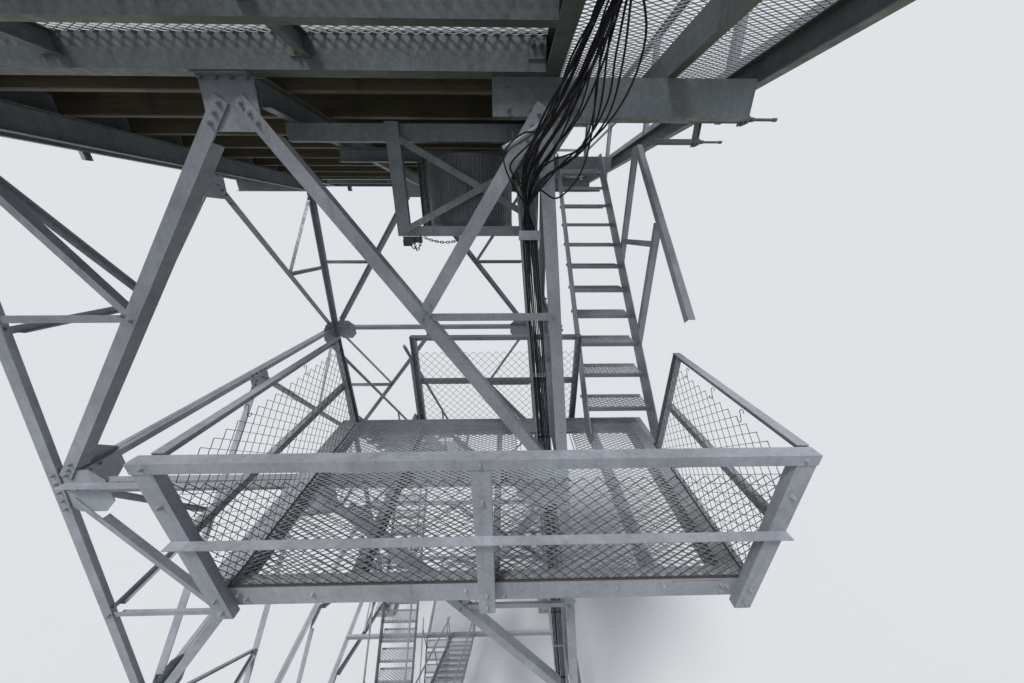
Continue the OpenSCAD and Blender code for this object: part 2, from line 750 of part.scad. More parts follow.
// Straight flight climbing towards +Y from (0, 0, 0): stringers and separate treads.
// A standing flight has its foot cut level, a hung one has it cut plumb against a beam.
module flight(rise, run, n, w, depth, hung, tread_t = 5) {
    going = run / n;
    step = rise / n;
    a = atan2(rise, run);
    v = depth / cos(a) / 2;
    foot = hung ? [[0, -v]] : [[v / tan(a), 0], [0, 0]];
    for (x = [0, w - beam_t]) translate([x, 0, 0]) rotate([90, 0, 90]) linear_extrude(beam_t)
        polygon(concat(foot, [[0, v], [run - v / tan(a), rise], [run, rise], [run, rise - v]]));
    for (i = [1:n - 1]) translate([beam_t + fit, i * going - 20, i * step]) {
        in = w - 2 * beam_t - 2 * fit;
        translate([0, 0, -tread_t]) cube([in, going + 10, tread_t]);
        translate([0, 0, -40]) cube([in, tread_t, 40]);
        translate([0, going + 10 - tread_t, -40]) cube([in, tread_t, 40]);
    }
}

lane_gap = 50;
// The flight that ends at level i, from its foot landing; lane 1 right, -1 left
module tower_flight(i, z0, z1, y0, y1, lane, n)
    color(galv) {
        up_y = y1 > y0;
        x = lane > 0 ? lane_gap : -lane_gap - stair_w;
        translate([up_y ? x : x + stair_w, y0, z0]) rotate([0, 0, up_y ? 0 : 180])
            flight(z1 - z0, abs(y1 - y0), n, stair_w, string_d, i > 1);
    }

module stair_flight_4()
    tower_flight(4, land_z(3), land_z(4), land_back, -bal_back + fit, 1, risers);
module stair_flight_3() tower_flight(3, land_z(2), land_z(3), -land_front, land_back, -1, risers);
module stair_flight_2() tower_flight(2, land_z(1), land_z(2), land_back, -land_front, 1, risers);
module stair_flight_1() tower_flight(1, 0, land_z(1), -land_front, land_back, -1, risers_low);

function land_z(i) = i * panel_h + land_rise;

// Landing at level i behind edge y, on the side of s: cross beam, side channels and grating
module landing(i, y, s) {
    z = i * panel_h + ring_up + fit;
    d = land_rise - ring_up - grate_h() - fit;
    far = half(z) - 2;
    x = half(z) - 10;
    w = stair_w + lane_gap;
    wall_y = s * (y + fit);
    along_x(-x, x) translate([wall_y, z]) channel_2d(d, 60, s);
    for (j = [-1, 1]) {
        y0 = y + 60 + 2 * fit;
        along_y(s > 0 ? y0 : -far, s > 0 ? far : -y0)
            translate([j * w, z]) channel_2d(d, 50, -j);
    }
    translate([-w, s > 0 ? y : -y - land_l, z + d + fit]) cube([2 * w, land_l, grate_h() - fit]);
}

module stair_landings()
    color(galv) {
        landing(1, land_back, 1);
        landing(2, land_front, -1);
        landing(3, land_back, 1);
    }

// Handrail beside one stringer, climbing towards +Y, as one welded piece
module handrail(rise, run, side) {
    a = atan2(rise, run);
    len = norm([rise, run]);
    edge = side > 0 ? stair_w : 0;
    post_d = hand_d * 0.8;
    translate([edge + side * (hand_d / 2 + fit), 0, hand_h]) rotate([a, 0, 0]) rotate([-90, 0, 0])
        cylinder(d = hand_d, h = len, $fn = 16);
    for (f = [0.06, 0.5, 0.94])
        translate([edge + side * (post_d / 2 + fit), run * f, rise * f + 10])
            cylinder(d = post_d, h = hand_h, $fn = 16);
}

module flight_rails(z0, z1, y0, y1, lane) {
    up_y = y1 > y0;
    x = lane > 0 ? lane_gap : -lane_gap - stair_w;
    translate([up_y ? x : x + stair_w, y0, z0]) rotate([0, 0, up_y ? 0 : 180]) {
        for (side = [-1, 1]) handrail(z1 - z0, abs(y1 - y0), side);
    }
}

module stair_handrails()
    color(galv) {
        flight_rails(land_z(3), land_z(4), land_back, -bal_back, 1);
        flight_rails(land_z(2), land_z(3), -land_front, land_back, -1);
        flight_rails(land_z(1), land_z(2), land_back, -land_front, 1);
        flight_rails(0, land_z(1), -land_front, land_back, -1);
    }

module upper_stair()
    color(galv) translate([upper_x, -upper_y, bal_floor + fit])
        flight(walk_top - bal_floor - fit, walk_top - bal_floor, upper_risers, stair_w, 200,
            false, 8);

// Handrail on the outer side of the upper stair, with two posts and a bar between them
module upper_stair_rail()
    color(galv) translate([upper_x + stair_w + fit, -upper_y, bal_floor]) {
        rise = arm_top - bal_floor - upper_rail_h - small_w;
        translate([0, 0, upper_rail_h]) rotate([45, 0, 0]) {
            cube([small_t, rise / sin(45), small_w]);
            translate([0, 0, small_w - small_t]) cube([small_w, rise / sin(45), small_t]);
        }
        for (y = [rail_post_1, rail_post_2]) translate([fit, y, y - small_w])
            linear_extrude(upper_rail_h + small_w + rail_post_over)
                angle_2d(small_w - 2 * fit, 1, 1);
        translate([2 * fit, rail_post_1 + small_t, rail_post_1 + upper_rail_h - rail_bar_drop])
            cube([small_t, rail_post_2 - rail_post_1, small_w]);
    }

cradle_z = arm_top - cradle_drop;
cradle_rest = cradle_z + cradle_d;
hang_top = arm_top - spine_d - fit;

// Flat bar in the plane y from a to b
module flat_bar(a, b, y)
    translate([a[0], y, a[1]]) rotate([0, -atan2(b[1] - a[1], b[0] - a[0]), 0])
        translate([0, 0, -cross_w / 2]) cube([norm(b - a), small_t, cross_w]);

// Two hung frames of channel posts and beams, tied by a cross brace at the front, with
// bearers between their bottom beams. They hang from two cross beams under the middle beam.
module drum_cradle()
    color(galv_dark) {
        f = 50;
        x1 = cradle_x + cradle_w;
        mid = -cradle_y + cradle_l / 2;
        side = half(arm_top) - deck_f - fit;
        for (s = [-1, 1]) {
            y = mid + s * cradle_l / 2;
            for (p = [[cradle_x, hang_top], [x1 - cradle_post, arm_bottom - fit]])
                translate([p[0], y, cradle_z]) linear_extrude(p[1] - cradle_z)
                    polygon([[0, 0], [cradle_post, 0], [cradle_post, -s * f],
                        [cradle_post - beam_t, -s * f], [cradle_post - beam_t, -s * beam_t],
                        [beam_t, -s * beam_t], [beam_t, -s * f], [0, -s * f]]);
            along_x(cradle_x + cradle_post + fit, x1 - cradle_post - fit)
                translate([y, cradle_z]) channel_2d(cradle_d, f, -s);
            along_x(spine_x - f, side)
                translate([y - s * (f + fit), hang_top - hang_d]) channel_2d(hang_d, f, -s);
        }
        bearer = 70;
        for (j = [-1, 1])
            along_y(mid - cradle_l / 2 + f + fit, mid + cradle_l / 2 - f - fit)
                translate([(cradle_x + x1) / 2 + j * drum_d / 4, cradle_rest - bearer])
                    channel_2d(bearer, f, j);
        high = [cradle_x + cradle_post, hang_top - hang_d];
        low = [cradle_x + cradle_post - 30, cradle_z + cross_w];
        right = x1 - 25;
        flat_bar(high, [right, cradle_rest + cross_w], -cradle_y - small_t - fit);
        flat_bar(low, [right, hang_top - 2 * hang_d], -cradle_y - 2 * small_t - 2 * fit);
    }

module ribbed_drum()
    color([0.4, 0.42, 0.43]) translate([cradle_x + cradle_w / 2, -cradle_y + cradle_l / 2,
        cradle_rest + fit]) {
        rib = 6;
        hoop = 30;
        n = 2 * drum_ribs;
        translate([0, 0, hoop / 2]) linear_extrude(drum_h - hoop)
            polygon([for (i = [0:n - 1])
                (drum_d / 2 - 2 - (i % 2) * rib) * [cos(360 * i / n), sin(360 * i / n)]]);
        for (z = [0, drum_h - hoop]) translate([0, 0, z]) cylinder(d = drum_d, h = hoop, $fn = 64);
    }

ladder_w0 = -brace_w - 50;
// Width of the clips that hold the ladder to the level beams
clip_w = 8;

module cable_ladder()
    color(galv) face(0) {
        v0 = up(ladder_foot);
        v1 = up(arm_bottom - 40);
        rail = 30;
        for (j = [0, 1]) {
            o = ladder_in + j * (ladder_w - small_t);
            translate([0, 0, ladder_w0 - rail]) linear_extrude(rail)
                polygon([[heel(v0) - o, v0], [heel(v1) - o, v1], [heel(v1) - o - small_t, v1],
                    [heel(v0) - o - small_t, v0]]);
        }
        for (v = [v0 + 200:600:v1 - 100])
            translate([heel(v) - ladder_in - ladder_w, v, ladder_w0 - small_t])
                cube([ladder_w, rail, small_t]);
        for (i = [1:panels - 1], j = [0, 1]) {
            z = i * panel_h + ring_up + fit;
            o = heel(up(z)) - ladder_in - j * (ladder_w - clip_w);
            w0 = plate_in - ring_f / 2;
            w1 = ladder_w0 - rail / 2;
            along_x(o - clip_w, o)
                polygon([[level_v(z, w0), w0], [level_v(z + small_t, w0), w0],
                    [level_v(z + small_t, w1), w1], [level_v(z, w1), w1]]);
        }
    }

// Route of the tied cables from the ladder, out between the leg and the brace, and up under
// the walkway into the front edge beam, with heights from the top of the arms
bundle_route = [for (p = [[2020, -2100, -970], [2000, -2105, -780], [2000, -2180, -600],
    [2070, -2300, -460], [2180, -2440, -300], [2270, -2600, -110], [2330, -2780, 40],
    [2370, -2960, 90], [2400, -3090, 90], [2400, beam_t + 3 - walk_y, 90]]) p + [0, 0, arm_top]];

// Point at t, from 0 to 1, of the smooth curve between points i and i + 1 of a route
function smooth(route, i, t) =
    let (n = len(route) - 1, a = route[max(i - 1, 0)], b = route[i], c = route[min(i + 1, n)],
        d = route[min(i + 2, n)])
    0.5 * (2 * b + (c - a) * t + (2 * a - 5 * b + 4 * c - d) * t * t
        + (3 * b - a - 3 * c + d) * t * t * t);

function unit(v) = v / norm(v);

// Round tube along a route
module tube(route, d, steps, sides) {
    pts = [for (i = [0:len(route) - 2], j = [0:steps - 1]) smooth(route, i, j / steps),
        route[len(route) - 1]];
    n = len(pts);
    rings = [for (i = [0:n - 1]) let (t = unit(pts[min(i + 1, n - 1)] - pts[max(i - 1, 0)]),
        a = unit(cross(t, [1, 0, 0])), b = cross(t, a))
        [for (j = [0:sides - 1]) pts[i] + d / 2 * (cos(360 * j / sides) * a
            + sin(360 * j / sides) * b)]];
    polyhedron([for (ring = rings, p = ring) p], concat(
        [[for (j = [0:sides - 1]) j]],
        [for (i = [0:n - 2], j = [0:sides - 1]) [i * sides + j, (i + 1) * sides + j,
            (i + 1) * sides + (j + 1) % sides, i * sides + (j + 1) % sides]],
        [[for (j = [sides - 1:-1:0]) (n - 1) * sides + j]]));
}

module cable_bundle()
    color([0.06, 0.06, 0.07]) {
        face(0) {
            v0 = up(ladder_foot + 100);
            v1 = up(bundle_route[0][2] - 40);
            for (j = [0:3])
                translate([heel(v0) - ladder_in - 30 - j * 28, v0, ladder_w0 + fit + cable_d / 2])
                    rotate([0, 0, tilt]) rotate([-90, 0, 0])
                        cylinder(d = cable_d, h = v1 - v0, $fn = 16);
        }
        tube(bundle_route, bundle_d, 3, 10);
    }

module instrument_arms()
    color(galv_dark) for (y = [-mast_front, -mast_back]) {
        z = arm_top - mast_drop;
        x = walk_x - mast_in;
        translate([x, y, z]) rotate([0, 90, 0]) cylinder(d = mast_d, h = mast_in - 30, $fn = 24);
        translate([walk_x - 50, y, z]) rotate([0, 90, 0])
            cylinder(d = mast_d * 0.4, h = mast_reach - walk_x + 50, $fn = 24);
        for (x = [walk_x - deck_f + small_t, walk_x - 40])
            translate([x, y - 35, z - 35])
                cube([beam_t, 70, arm_top - z + 35 - fit]);
    }

footings();
leg(0);  // leg_front_right
leg(1);  // leg_back_right
leg(2);  // leg_back_left
leg(3);  // leg_front_left
bracing(0);  // front_bracing
bracing(1);  // right_bracing
bracing(2);  // back_bracing
bracing(3);  // left_bracing
gusset_plates();
level_beams(1);  // level_1_beams
level_beams(2);  // level_2_beams
level_beams(3);  // level_3_beams
level_beams(4);  // level_4_beams
deck_arms();
deck_outriggers();
deck_edge_beams();
deck_stringers();
cab_joists();
cab_floor();
walkway_grating();
walkway_railing();
cab_wall(0);  // cab_front_wall
cab_wall(1);  // cab_right_wall
cab_wall(2);  // cab_back_wall
cab_wall(3);  // cab_left_wall
cab_glass();
cab_door();
cab_roof();
balcony_frame();
balcony_floor();
balcony_railing();
balcony_fence();
stair_flight_1();
stair_flight_2();
stair_flight_3();
stair_flight_4();
stair_landings();
stair_handrails();
upper_stair();
upper_stair_rail();
drum_cradle();
ribbed_drum();
cable_ladder();
cable_bundle();
instrument_arms();
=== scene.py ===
"""Looks of the fire lookout tower: galvanised steel, bolts, gratings, woven wire, cables and the cab."""
import json
import math
import random

import bpy
import numpy as np
from mathutils import Matrix, Vector


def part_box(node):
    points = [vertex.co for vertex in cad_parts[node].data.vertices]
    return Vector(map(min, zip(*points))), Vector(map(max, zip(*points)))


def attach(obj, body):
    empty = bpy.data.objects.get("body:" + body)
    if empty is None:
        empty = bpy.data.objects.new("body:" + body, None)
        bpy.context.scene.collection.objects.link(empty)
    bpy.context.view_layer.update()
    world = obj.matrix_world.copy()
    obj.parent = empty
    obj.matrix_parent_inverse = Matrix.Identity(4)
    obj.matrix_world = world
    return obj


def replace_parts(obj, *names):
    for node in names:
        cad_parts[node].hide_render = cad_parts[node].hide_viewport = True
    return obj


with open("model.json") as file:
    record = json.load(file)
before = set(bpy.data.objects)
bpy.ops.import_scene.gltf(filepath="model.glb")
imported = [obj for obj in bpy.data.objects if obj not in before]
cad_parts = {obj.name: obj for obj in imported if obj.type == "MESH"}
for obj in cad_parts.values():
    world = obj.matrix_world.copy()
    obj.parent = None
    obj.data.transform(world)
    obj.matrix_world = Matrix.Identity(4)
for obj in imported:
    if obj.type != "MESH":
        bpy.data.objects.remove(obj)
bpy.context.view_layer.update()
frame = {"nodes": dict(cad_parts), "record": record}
nodes = frame["nodes"]
random.seed(7)

# Driving sizes of the tower, in metres
PANEL = 3.32
PANELS = 5
BATTER = 0.09
TOP_HALF = 2.134
LEG_W = 0.102
LEG_T = 0.01
BRACE_W = 0.1
SMALL_T = 0.006
PLATE_T = 0.008
BEAM_T = 0.008
GUSSET = 0.47
RING_D = 0.1
RING_UP = 0.14
FOOT_TOP = 0.325
ARM_D = 0.22
DECK_D = 0.18
RIGGER_X = 2.2
WALK_X = 3.66
WALK_Y = 3.2
STAIR_W = 0.7
LANE_GAP = 0.05
FIT = 0.0003
END_GAP = 0.012
BRACE_T = LEG_T + 0.001
PLATE_OUT = -BRACE_T - FIT
PLATE_IN = PLATE_OUT - PLATE_T
DECK = PANELS * PANEL
FOOT_HALF = TOP_HALF + BATTER * DECK
TILT = math.atan(BATTER)
ARM_TOP = DECK - 0.02
ARM_BOTTOM = ARM_TOP - ARM_D
BEAM_TOP = ARM_TOP + DECK_D
WALK_TOP = BEAM_TOP + 0.02
FLOOR_TOP = BEAM_TOP + 0.04
LAND_RISE = RING_UP + 0.18
BAL_FLOOR = 4 * PANEL + LAND_RISE


def half(z):
    return FOOT_HALF - BATTER * z


BAL_LEFT = 0.083
BAL_RIGHT = half(BAL_FLOOR) + 0.976
BAL_FRONT = half(BAL_FLOOR) + 1.053
BAL_BACK = half(BAL_FLOOR) - 0.687


def up(z):
    return z / math.cos(TILT)


def heel(v):
    return FOOT_HALF - v * math.sin(TILT)


def face_matrix(k):
    """Places a point (across, up the slope, out) on face k: 0 front, 1 right, 2 back, 3 left."""
    return (Matrix.Rotation(math.pi / 2 * k, 4, "Z") @ Matrix.Translation((0, -FOOT_HALF, 0))
            @ Matrix.Rotation(math.pi / 2 - TILT, 4, "X"))


# Camera

CAMERA_AT = (1.84, -4.577, 15.63)
CAMERA_YAW = -1.03
CAMERA_PITCH = -20.81
FOCAL_PX = 293.4
FRAME_PX = 1024
SENSOR_MM = 36


def make_camera():
    data = bpy.data.cameras.new("camera")
    data.sensor_width = SENSOR_MM
    data.lens = FOCAL_PX / FRAME_PX * data.sensor_width
    data.clip_start = 0.05
    data.clip_end = 400
    cam = bpy.data.objects.new("camera", data)
    bpy.context.scene.collection.objects.link(cam)
    cam.location = CAMERA_AT
    cam.rotation_euler = (math.radians(90 + CAMERA_PITCH), 0, math.radians(CAMERA_YAW))
    bpy.context.scene.camera = cam


make_camera()


# Node trees

# Sockets of the Mix node that carry colours
COLOR_A = 6
COLOR_B = 7
COLOR_OUT = 2
# Painted shade for what looks down on steel, then moss and rust colours
UNDERSIDE_SHADE = (0.07, 0.072, 0.06)
MOSS = (0.075, 0.09, 0.03)
RUST = (0.14, 0.06, 0.028)


class Nodes:
    """Short calls for building a node tree."""

    def __init__(self, tree):
        self.tree = tree

    def put(self, socket, value):
        if isinstance(value, bpy.types.NodeSocket):
            self.tree.links.new(value, socket)
        elif isinstance(value, (tuple, list)) and len(value) == 3 and socket.type == "RGBA":
            socket.default_value = (*value, 1)
        else:
            socket.default_value = value

    def node(self, kind, inputs, **settings):
        """Adds a node, fills its inputs and returns its outputs."""
        node = self.tree.nodes.new(kind)
        for key, value in settings.items():
            setattr(node, key, value)
        for key, value in inputs.items():
            self.put(node.inputs[key], value)
        return node.outputs

    def math(self, op, a, b=0.0):
        return self.node("ShaderNodeMath", {0: a, 1: b}, operation=op)[0]

    def seen_rays(self):
        """1 for rays from the camera, and for those that mirror or pass glass on their way."""
        path = self.node("ShaderNodeLightPath", {})
        most = self.math("MAXIMUM", path["Is Camera Ray"], path["Is Glossy Ray"])
        return self.math("MAXIMUM", most, path["Is Transmission Ray"])


class Tree(Nodes):
    """Nodes of one material."""

    def __init__(self, name):
        self.mat = bpy.data.materials.new(name)
        self.mat.use_nodes = True
        super().__init__(self.mat.node_tree)
        self.bsdf = self.tree.nodes["Principled BSDF"].inputs
        self.coord = self.node("ShaderNodeTexCoord", {})["Object"]

    def noise(self, scale, detail=4, rough=0.55, stretch=(1, 1, 1)):
        at = self.node("ShaderNodeMapping", {"Vector": self.coord, "Scale": stretch})["Vector"]
        return self.node("ShaderNodeTexNoise", {"Vector": at, "Scale": scale, "Detail": detail,
                                                "Roughness": rough})["Fac"]

    def cells(self, scale):
        cell = self.node("ShaderNodeTexVoronoi", {"Vector": self.coord, "Scale": scale})["Color"]
        return self.node("ShaderNodeRGBToBW", {0: cell})[0]

    def span(self, fac, low, high, out_low=0.0, out_high=1.0):
        return self.node("ShaderNodeMapRange", {"Value": fac, "From Min": low, "From Max": high,
                                                "To Min": out_low, "To Max": out_high},
                         interpolation_type="SMOOTHSTEP")["Result"]

    def mix(self, fac, a, b, blend="MIX"):
        return self.node("ShaderNodeMix", {"Factor": fac, COLOR_A: a, COLOR_B: b},
                         data_type="RGBA", blend_type=blend)[COLOR_OUT]

    def facing(self, low, high):
        """0 where the surface's upward part is at low, 1 where it is at high."""
        normal = self.node("ShaderNodeNewGeometry", {})["Normal"]
        return self.span(self.node("ShaderNodeSeparateXYZ", {0: normal})["Z"], low, high)

    def bump(self, height, strength, distance):
        self.put(self.bsdf["Normal"],
                 self.node("ShaderNodeBump", {"Strength": strength, "Distance": distance,
                                              "Height": height})["Normal"])

    def finish(self, color, rough, metallic=0.0):
        for key, value in (("Base Color", color), ("Roughness", rough), ("Metallic", metallic)):
            self.put(self.bsdf[key], value)
        return self.mat


def steel(name, light, dark, stain=0.25, underside_shade=0.0, rust=0.0, metallic=0.3):
    """Galvanised steel: faint spangle, cloudy patches, rain streaks, and painted shade tinted with moss
    on what looks down.
    """
    t = Tree(name)
    color = t.mix(t.span(t.cells(55), 0.2, 0.8, 0.25, 0.75), dark, light)
    cloud = t.span(t.noise(2.3, 6, 0.6), 0.32, 0.72, 0.78, 1.06)
    color = t.mix(1.0, color, t.mix(cloud, (0.0, 0.0, 0.0), (1.0, 1.0, 1.0)), "MULTIPLY")
    pale = t.span(t.noise(34, 3, 0.5, (1, 1, 0.03)), 0.45, 0.7, 0, 0.09)
    color = t.mix(pale, color, tuple(c * 1.25 for c in light))
    streak = t.span(t.noise(16, 5, 0.6, (1, 1, 0.05)), 0.5, 0.78, 0, stain)
    color = t.mix(streak, color, tuple(c * 0.45 for c in dark))
    # Painted shade on faces that look down: a dark colour, in places tinted with moss
    if underside_shade:
        moss = t.span(t.noise(3.1, 5, 0.65), 0.36, 0.62)
        shade_and_moss = t.mix(moss, UNDERSIDE_SHADE, MOSS)
        color = t.mix(t.math("MULTIPLY", t.facing(-0.15, -0.9), underside_shade), color, shade_and_moss)
    if rust:
        spots = t.span(t.noise(6.5, 8, 0.7), 0.6, 0.74, 0, rust)
        color = t.mix(spots, color, RUST)
    t.bump(t.noise(140, 3), 0.2, 0.002)
    return t.finish(color, t.span(t.noise(14, 4), 0.3, 0.7, 0.42, 0.62), metallic)


def concrete(name):
    t = Tree(name)
    color = t.mix(t.span(t.noise(5, 8, 0.7), 0.3, 0.7), (0.36, 0.35, 0.32), (0.56, 0.54, 0.5))
    color = t.mix(t.span(t.noise(60, 4), 0.55, 0.7, 0, 0.5), color, (0.25, 0.24, 0.22))
    damp = t.span(t.noise(7, 5, 0.6, (1, 1, 0.1)), 0.5, 0.75, 0, 0.6)
    color = t.mix(damp, color, (0.2, 0.2, 0.17))
    t.bump(t.noise(45, 8, 0.7), 0.6, 0.01)
    return t.finish(color, 0.9)


def boards(name, along, pale, deep, moss):
    """Damp boards with grain along one axis, green growth and dark wet patches."""
    t = Tree(name)
    stretch = [22, 22, 22]
    stretch[along] = 1.2
    color = t.mix(t.span(t.noise(1, 7, 0.6, stretch), 0.32, 0.68), deep, pale)
    color = t.mix(t.span(t.noise(0.9, 5, 0.6), 0.42, 0.62, 0, moss), color, (0.05, 0.056, 0.022))
    color = t.mix(t.span(t.noise(1.6, 6, 0.7), 0.55, 0.7, 0, 0.7), color, (0.024, 0.016, 0.011))
    t.bump(t.noise(1.5, 6, 0.6, stretch), 0.5, 0.004)
    return t.finish(color, t.span(t.noise(3, 3), 0.3, 0.7, 0.6, 0.85))


def paint(name, base, worn, rough=0.5, scale=4.0, wear=0.5):
    t = Tree(name)
    color = t.mix(t.span(t.noise(scale, 6, 0.6), 0.45, 0.75, 0, wear), base, worn)
    color = t.mix(t.span(t.noise(12, 5, 0.6, (1, 1, 0.08)), 0.55, 0.8, 0, 0.4), color, worn)
    t.bump(t.noise(90, 3), 0.15, 0.002)
    return t.finish(color, t.span(t.noise(20, 3), 0.3, 0.7, rough - 0.08, rough + 0.12))


def glass(name):
    t = Tree(name)
    t.bsdf["Transmission Weight"].default_value = 0.85
    t.bsdf["IOR"].default_value = 1.45
    color = t.mix(t.span(t.noise(2.2, 5), 0.35, 0.7, 0, 1), (0.72, 0.8, 0.82), (0.6, 0.7, 0.72))
    return t.finish(color, t.span(t.noise(6, 5), 0.4, 0.75, 0.02, 0.14))


def rubber(name):
    t = Tree(name)
    color = t.mix(t.span(t.noise(7, 5), 0.3, 0.75), (0.006, 0.006, 0.007), (0.018, 0.018, 0.019))
    t.bump(t.noise(120, 2), 0.1, 0.001)
    t.bsdf["Specular IOR Level"].default_value = 0.2
    return t.finish(color, t.span(t.noise(25, 3), 0.3, 0.7, 0.4, 0.6))


# Steel rows: light and dark tones, rain stain, share of painted underside shade, rust, metallic
MAKERS = {
    "galvanised_steel": (steel, (0.42, 0.44, 0.475), (0.335, 0.355, 0.39), 0.35, 0.6),
    "weathered_steel": (steel, (0.27, 0.3, 0.32), (0.19, 0.215, 0.225), 0.5, 0.85, 0.4, 0.2),
    "grating": (steel, (0.36, 0.385, 0.41), (0.27, 0.29, 0.31), 0.3, 0.4, 0.2),
    "fence_wire": (steel, (0.06, 0.05, 0.044), (0.028, 0.022, 0.019), 0.2, 0, 0.3, 0.1),
    "concrete": (concrete,),
    "planks": (boards, 1, (0.08, 0.061, 0.039), (0.038, 0.028, 0.019), 0.7),
    "joist_timber": (boards, 0, (0.13, 0.108, 0.065), (0.07, 0.056, 0.034), 0.55),
    "cab_paint": (paint, (0.62, 0.63, 0.58), (0.42, 0.41, 0.36), 0.55),
    "door_paint": (paint, (0.2, 0.27, 0.24), (0.3, 0.32, 0.28), 0.45),
    "roof_sheet": (paint, (0.16, 0.21, 0.19), (0.27, 0.28, 0.25), 0.42, 2.0),
    "window_glass": (glass,),
    "drum_metal": (steel, (0.15, 0.158, 0.165), (0.1, 0.106, 0.11), 0.4, 0.3, 0.3, 0.2),
    "cable_rubber": (rubber,),
}
MATERIALS = {name: maker(name, *values) for name, (maker, *values) in MAKERS.items()}


def dress_cad_nodes():
    slots = {s["node"]: s["material_slot"] for s in frame["record"]["subparts"]}
    for name, obj in nodes.items():
        obj.data.materials.clear()
        obj.data.materials.append(MATERIALS[slots[name]])


dress_cad_nodes()


# Meshes

# A bolt's parts as shares of its size across the flats, and its washer's thickness
WASHER_R = 0.85
HEAD_R = 0.577
HEAD_H = 0.6
END_R = 0.28
END_H = 0.25
WASHER_T = 0.0025


def basis(normal):
    """Two unit vectors across a direction, and the direction."""
    n = np.array(normal, float)
    n /= np.linalg.norm(n)
    side = np.cross(n, (0, 0, 1.0) if abs(n[2]) < 0.9 else (1.0, 0, 0))
    side /= np.linalg.norm(side)
    return side, np.cross(n, side), n


def circle(side, other, radius, sides):
    """Points of a round or oval ring that two vectors span, from its middle."""
    turns = [2 * math.pi * j / sides for j in range(sides)]
    return [radius * (math.cos(a) * side + math.sin(a) * other) for a in turns]


def round_opening(x0, y0, x1, y1, t):
    """Four bars of width t round a rectangle, the level ones over the corners."""
    return [(x0 - t, y0 - t, x1 + t, y0), (x0 - t, y1, x1 + t, y1 + t), (x0 - t, y0, x0, y1),
            (x1, y0, x1 + t, y1)]


class Mesh:
    """Gathers vertices and faces, then makes one object of them."""

    def __init__(self):
        self.verts = []
        self.faces = []
        self.count = 0

    def add(self, verts, faces, matrix=None):
        base = self.count
        pts = np.asarray(verts, float).reshape(-1, 3)
        if matrix is not None:
            m = np.array(matrix)
            pts = pts @ m[:3, :3].T + m[:3, 3]
        self.verts.append(pts)
        self.faces.extend([tuple(i + base for i in f) for f in faces])
        self.count += len(pts)

    def box(self, center, size, matrix=None):
        c, h = np.array(center, float), np.array(size, float) / 2
        pts = [c + h * np.array((x, y, z)) for x in (-1, 1) for y in (-1, 1) for z in (-1, 1)]
        self.add(pts, [(0, 1, 3, 2), (4, 6, 7, 5), (0, 4, 5, 1), (2, 3, 7, 6), (0, 2, 6, 4),
                       (1, 5, 7, 3)], matrix)

    def span(self, low, high, matrix=None):
        """Box between two opposite corners."""
        low, high = np.minimum(low, high), np.maximum(low, high)
        self.box((low + high) / 2, high - low, matrix)

    def rings(self, rings, matrix=None):
        """Tube through rings of equally many points, closed at both ends."""
        n, m = len(rings), len(rings[0])
        faces = [(i * m + j, i * m + (j + 1) % m, (i + 1) * m + (j + 1) % m, (i + 1) * m + j)
                 for i in range(n - 1) for j in range(m)]
        faces.append(tuple(range(m - 1, -1, -1)))
        faces.append(tuple((n - 1) * m + j for j in range(m)))
        self.add(np.array(rings, float).reshape(-1, 3), faces, matrix)

    def prism(self, points, offsets, matrix=None):
        """Tube with the same cross-section offsets at each point, closed at both ends."""
        self.rings(np.asarray(points)[:, None, :] + np.asarray(offsets)[None, :, :], matrix)

    def extrude(self, outline, axis, a, b, matrix=None):
        """Outline drawn across and up, pulled along X (axis 0) or Y (axis 1) from a to b."""
        rings = [[(s, p, q) if axis == 0 else (p, s, q) for p, q in outline] for s in (a, b)]
        self.rings(rings, matrix)

    def tube(self, points, radius, sides=8):
        pts = [Vector(p) for p in points]
        rings = []
        side = None
        for i, p in enumerate(pts):
            ahead = (pts[min(i + 1, len(pts) - 1)] - pts[max(i - 1, 0)]).normalized()
            if side is None:
                side = ahead.orthogonal().normalized()
            side = (side - ahead * side.dot(ahead)).normalized()
            other = ahead.cross(side)
            rings.append([p + q for q in circle(side, other, radius, sides)])
        self.rings(rings)

    def disc(self, at, normal, radius, height, sides=12):
        side, other, n = basis(normal)
        at = np.array(at, float)
        ring = circle(side, other, radius, sides)
        self.rings([[at + q for q in ring], [at + q + n * height for q in ring]])

    def bolt(self, at, normal, size=0.026):
        """Hexagon head on a round washer, on the surface at a point."""
        for radius, height, sides in ((WASHER_R, WASHER_T, 10), (HEAD_R, HEAD_H * size, 6),
                                      (END_R, END_H * size, 6)):
            self.disc(at, normal, radius * size, height, sides)
            at = np.array(at) + basis(normal)[2] * height

    def make(self, name, slot, smooth=False):
        mesh = bpy.data.meshes.new(name)
        mesh.from_pydata(np.concatenate(self.verts).tolist(), [], self.faces)
        mesh.validate()
        mesh.update()
        if smooth:
            mesh.polygons.foreach_set("use_smooth", [True] * len(mesh.polygons))
        obj = bpy.data.objects.new(name, mesh)
        bpy.context.scene.collection.objects.link(obj)
        mesh.materials.append(MATERIALS[slot])
        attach(obj, "root")
        return obj


def curve_points(points, steps=8):
    """Smooth path through the points."""
    pts = [np.array(p, float) for p in points]
    pts = [2 * pts[0] - pts[1]] + pts + [2 * pts[-1] - pts[-2]]
    out = []
    for i in range(1, len(pts) - 2):
        a, b, c, d = pts[i - 1:i + 3]
        for s in range(steps):
            t = s / steps
            out.append(0.5 * (2 * b + (c - a) * t + (2 * a - 5 * b + 4 * c - d) * t * t
                              + (3 * b - a - 3 * c + d) * t ** 3))
    out.append(pts[-2])
    return out


def channel(depth, flange, side, across, low, t=BEAM_T):
    """Channel outline: web at across, flanges towards side, up from low."""
    return [(across + side * p, low + q)
            for p, q in ((0, 0), (flange, 0), (flange, t), (t, t), (t, depth - t),
                         (flange, depth - t), (flange, depth), (0, depth))]


# Expanded metal

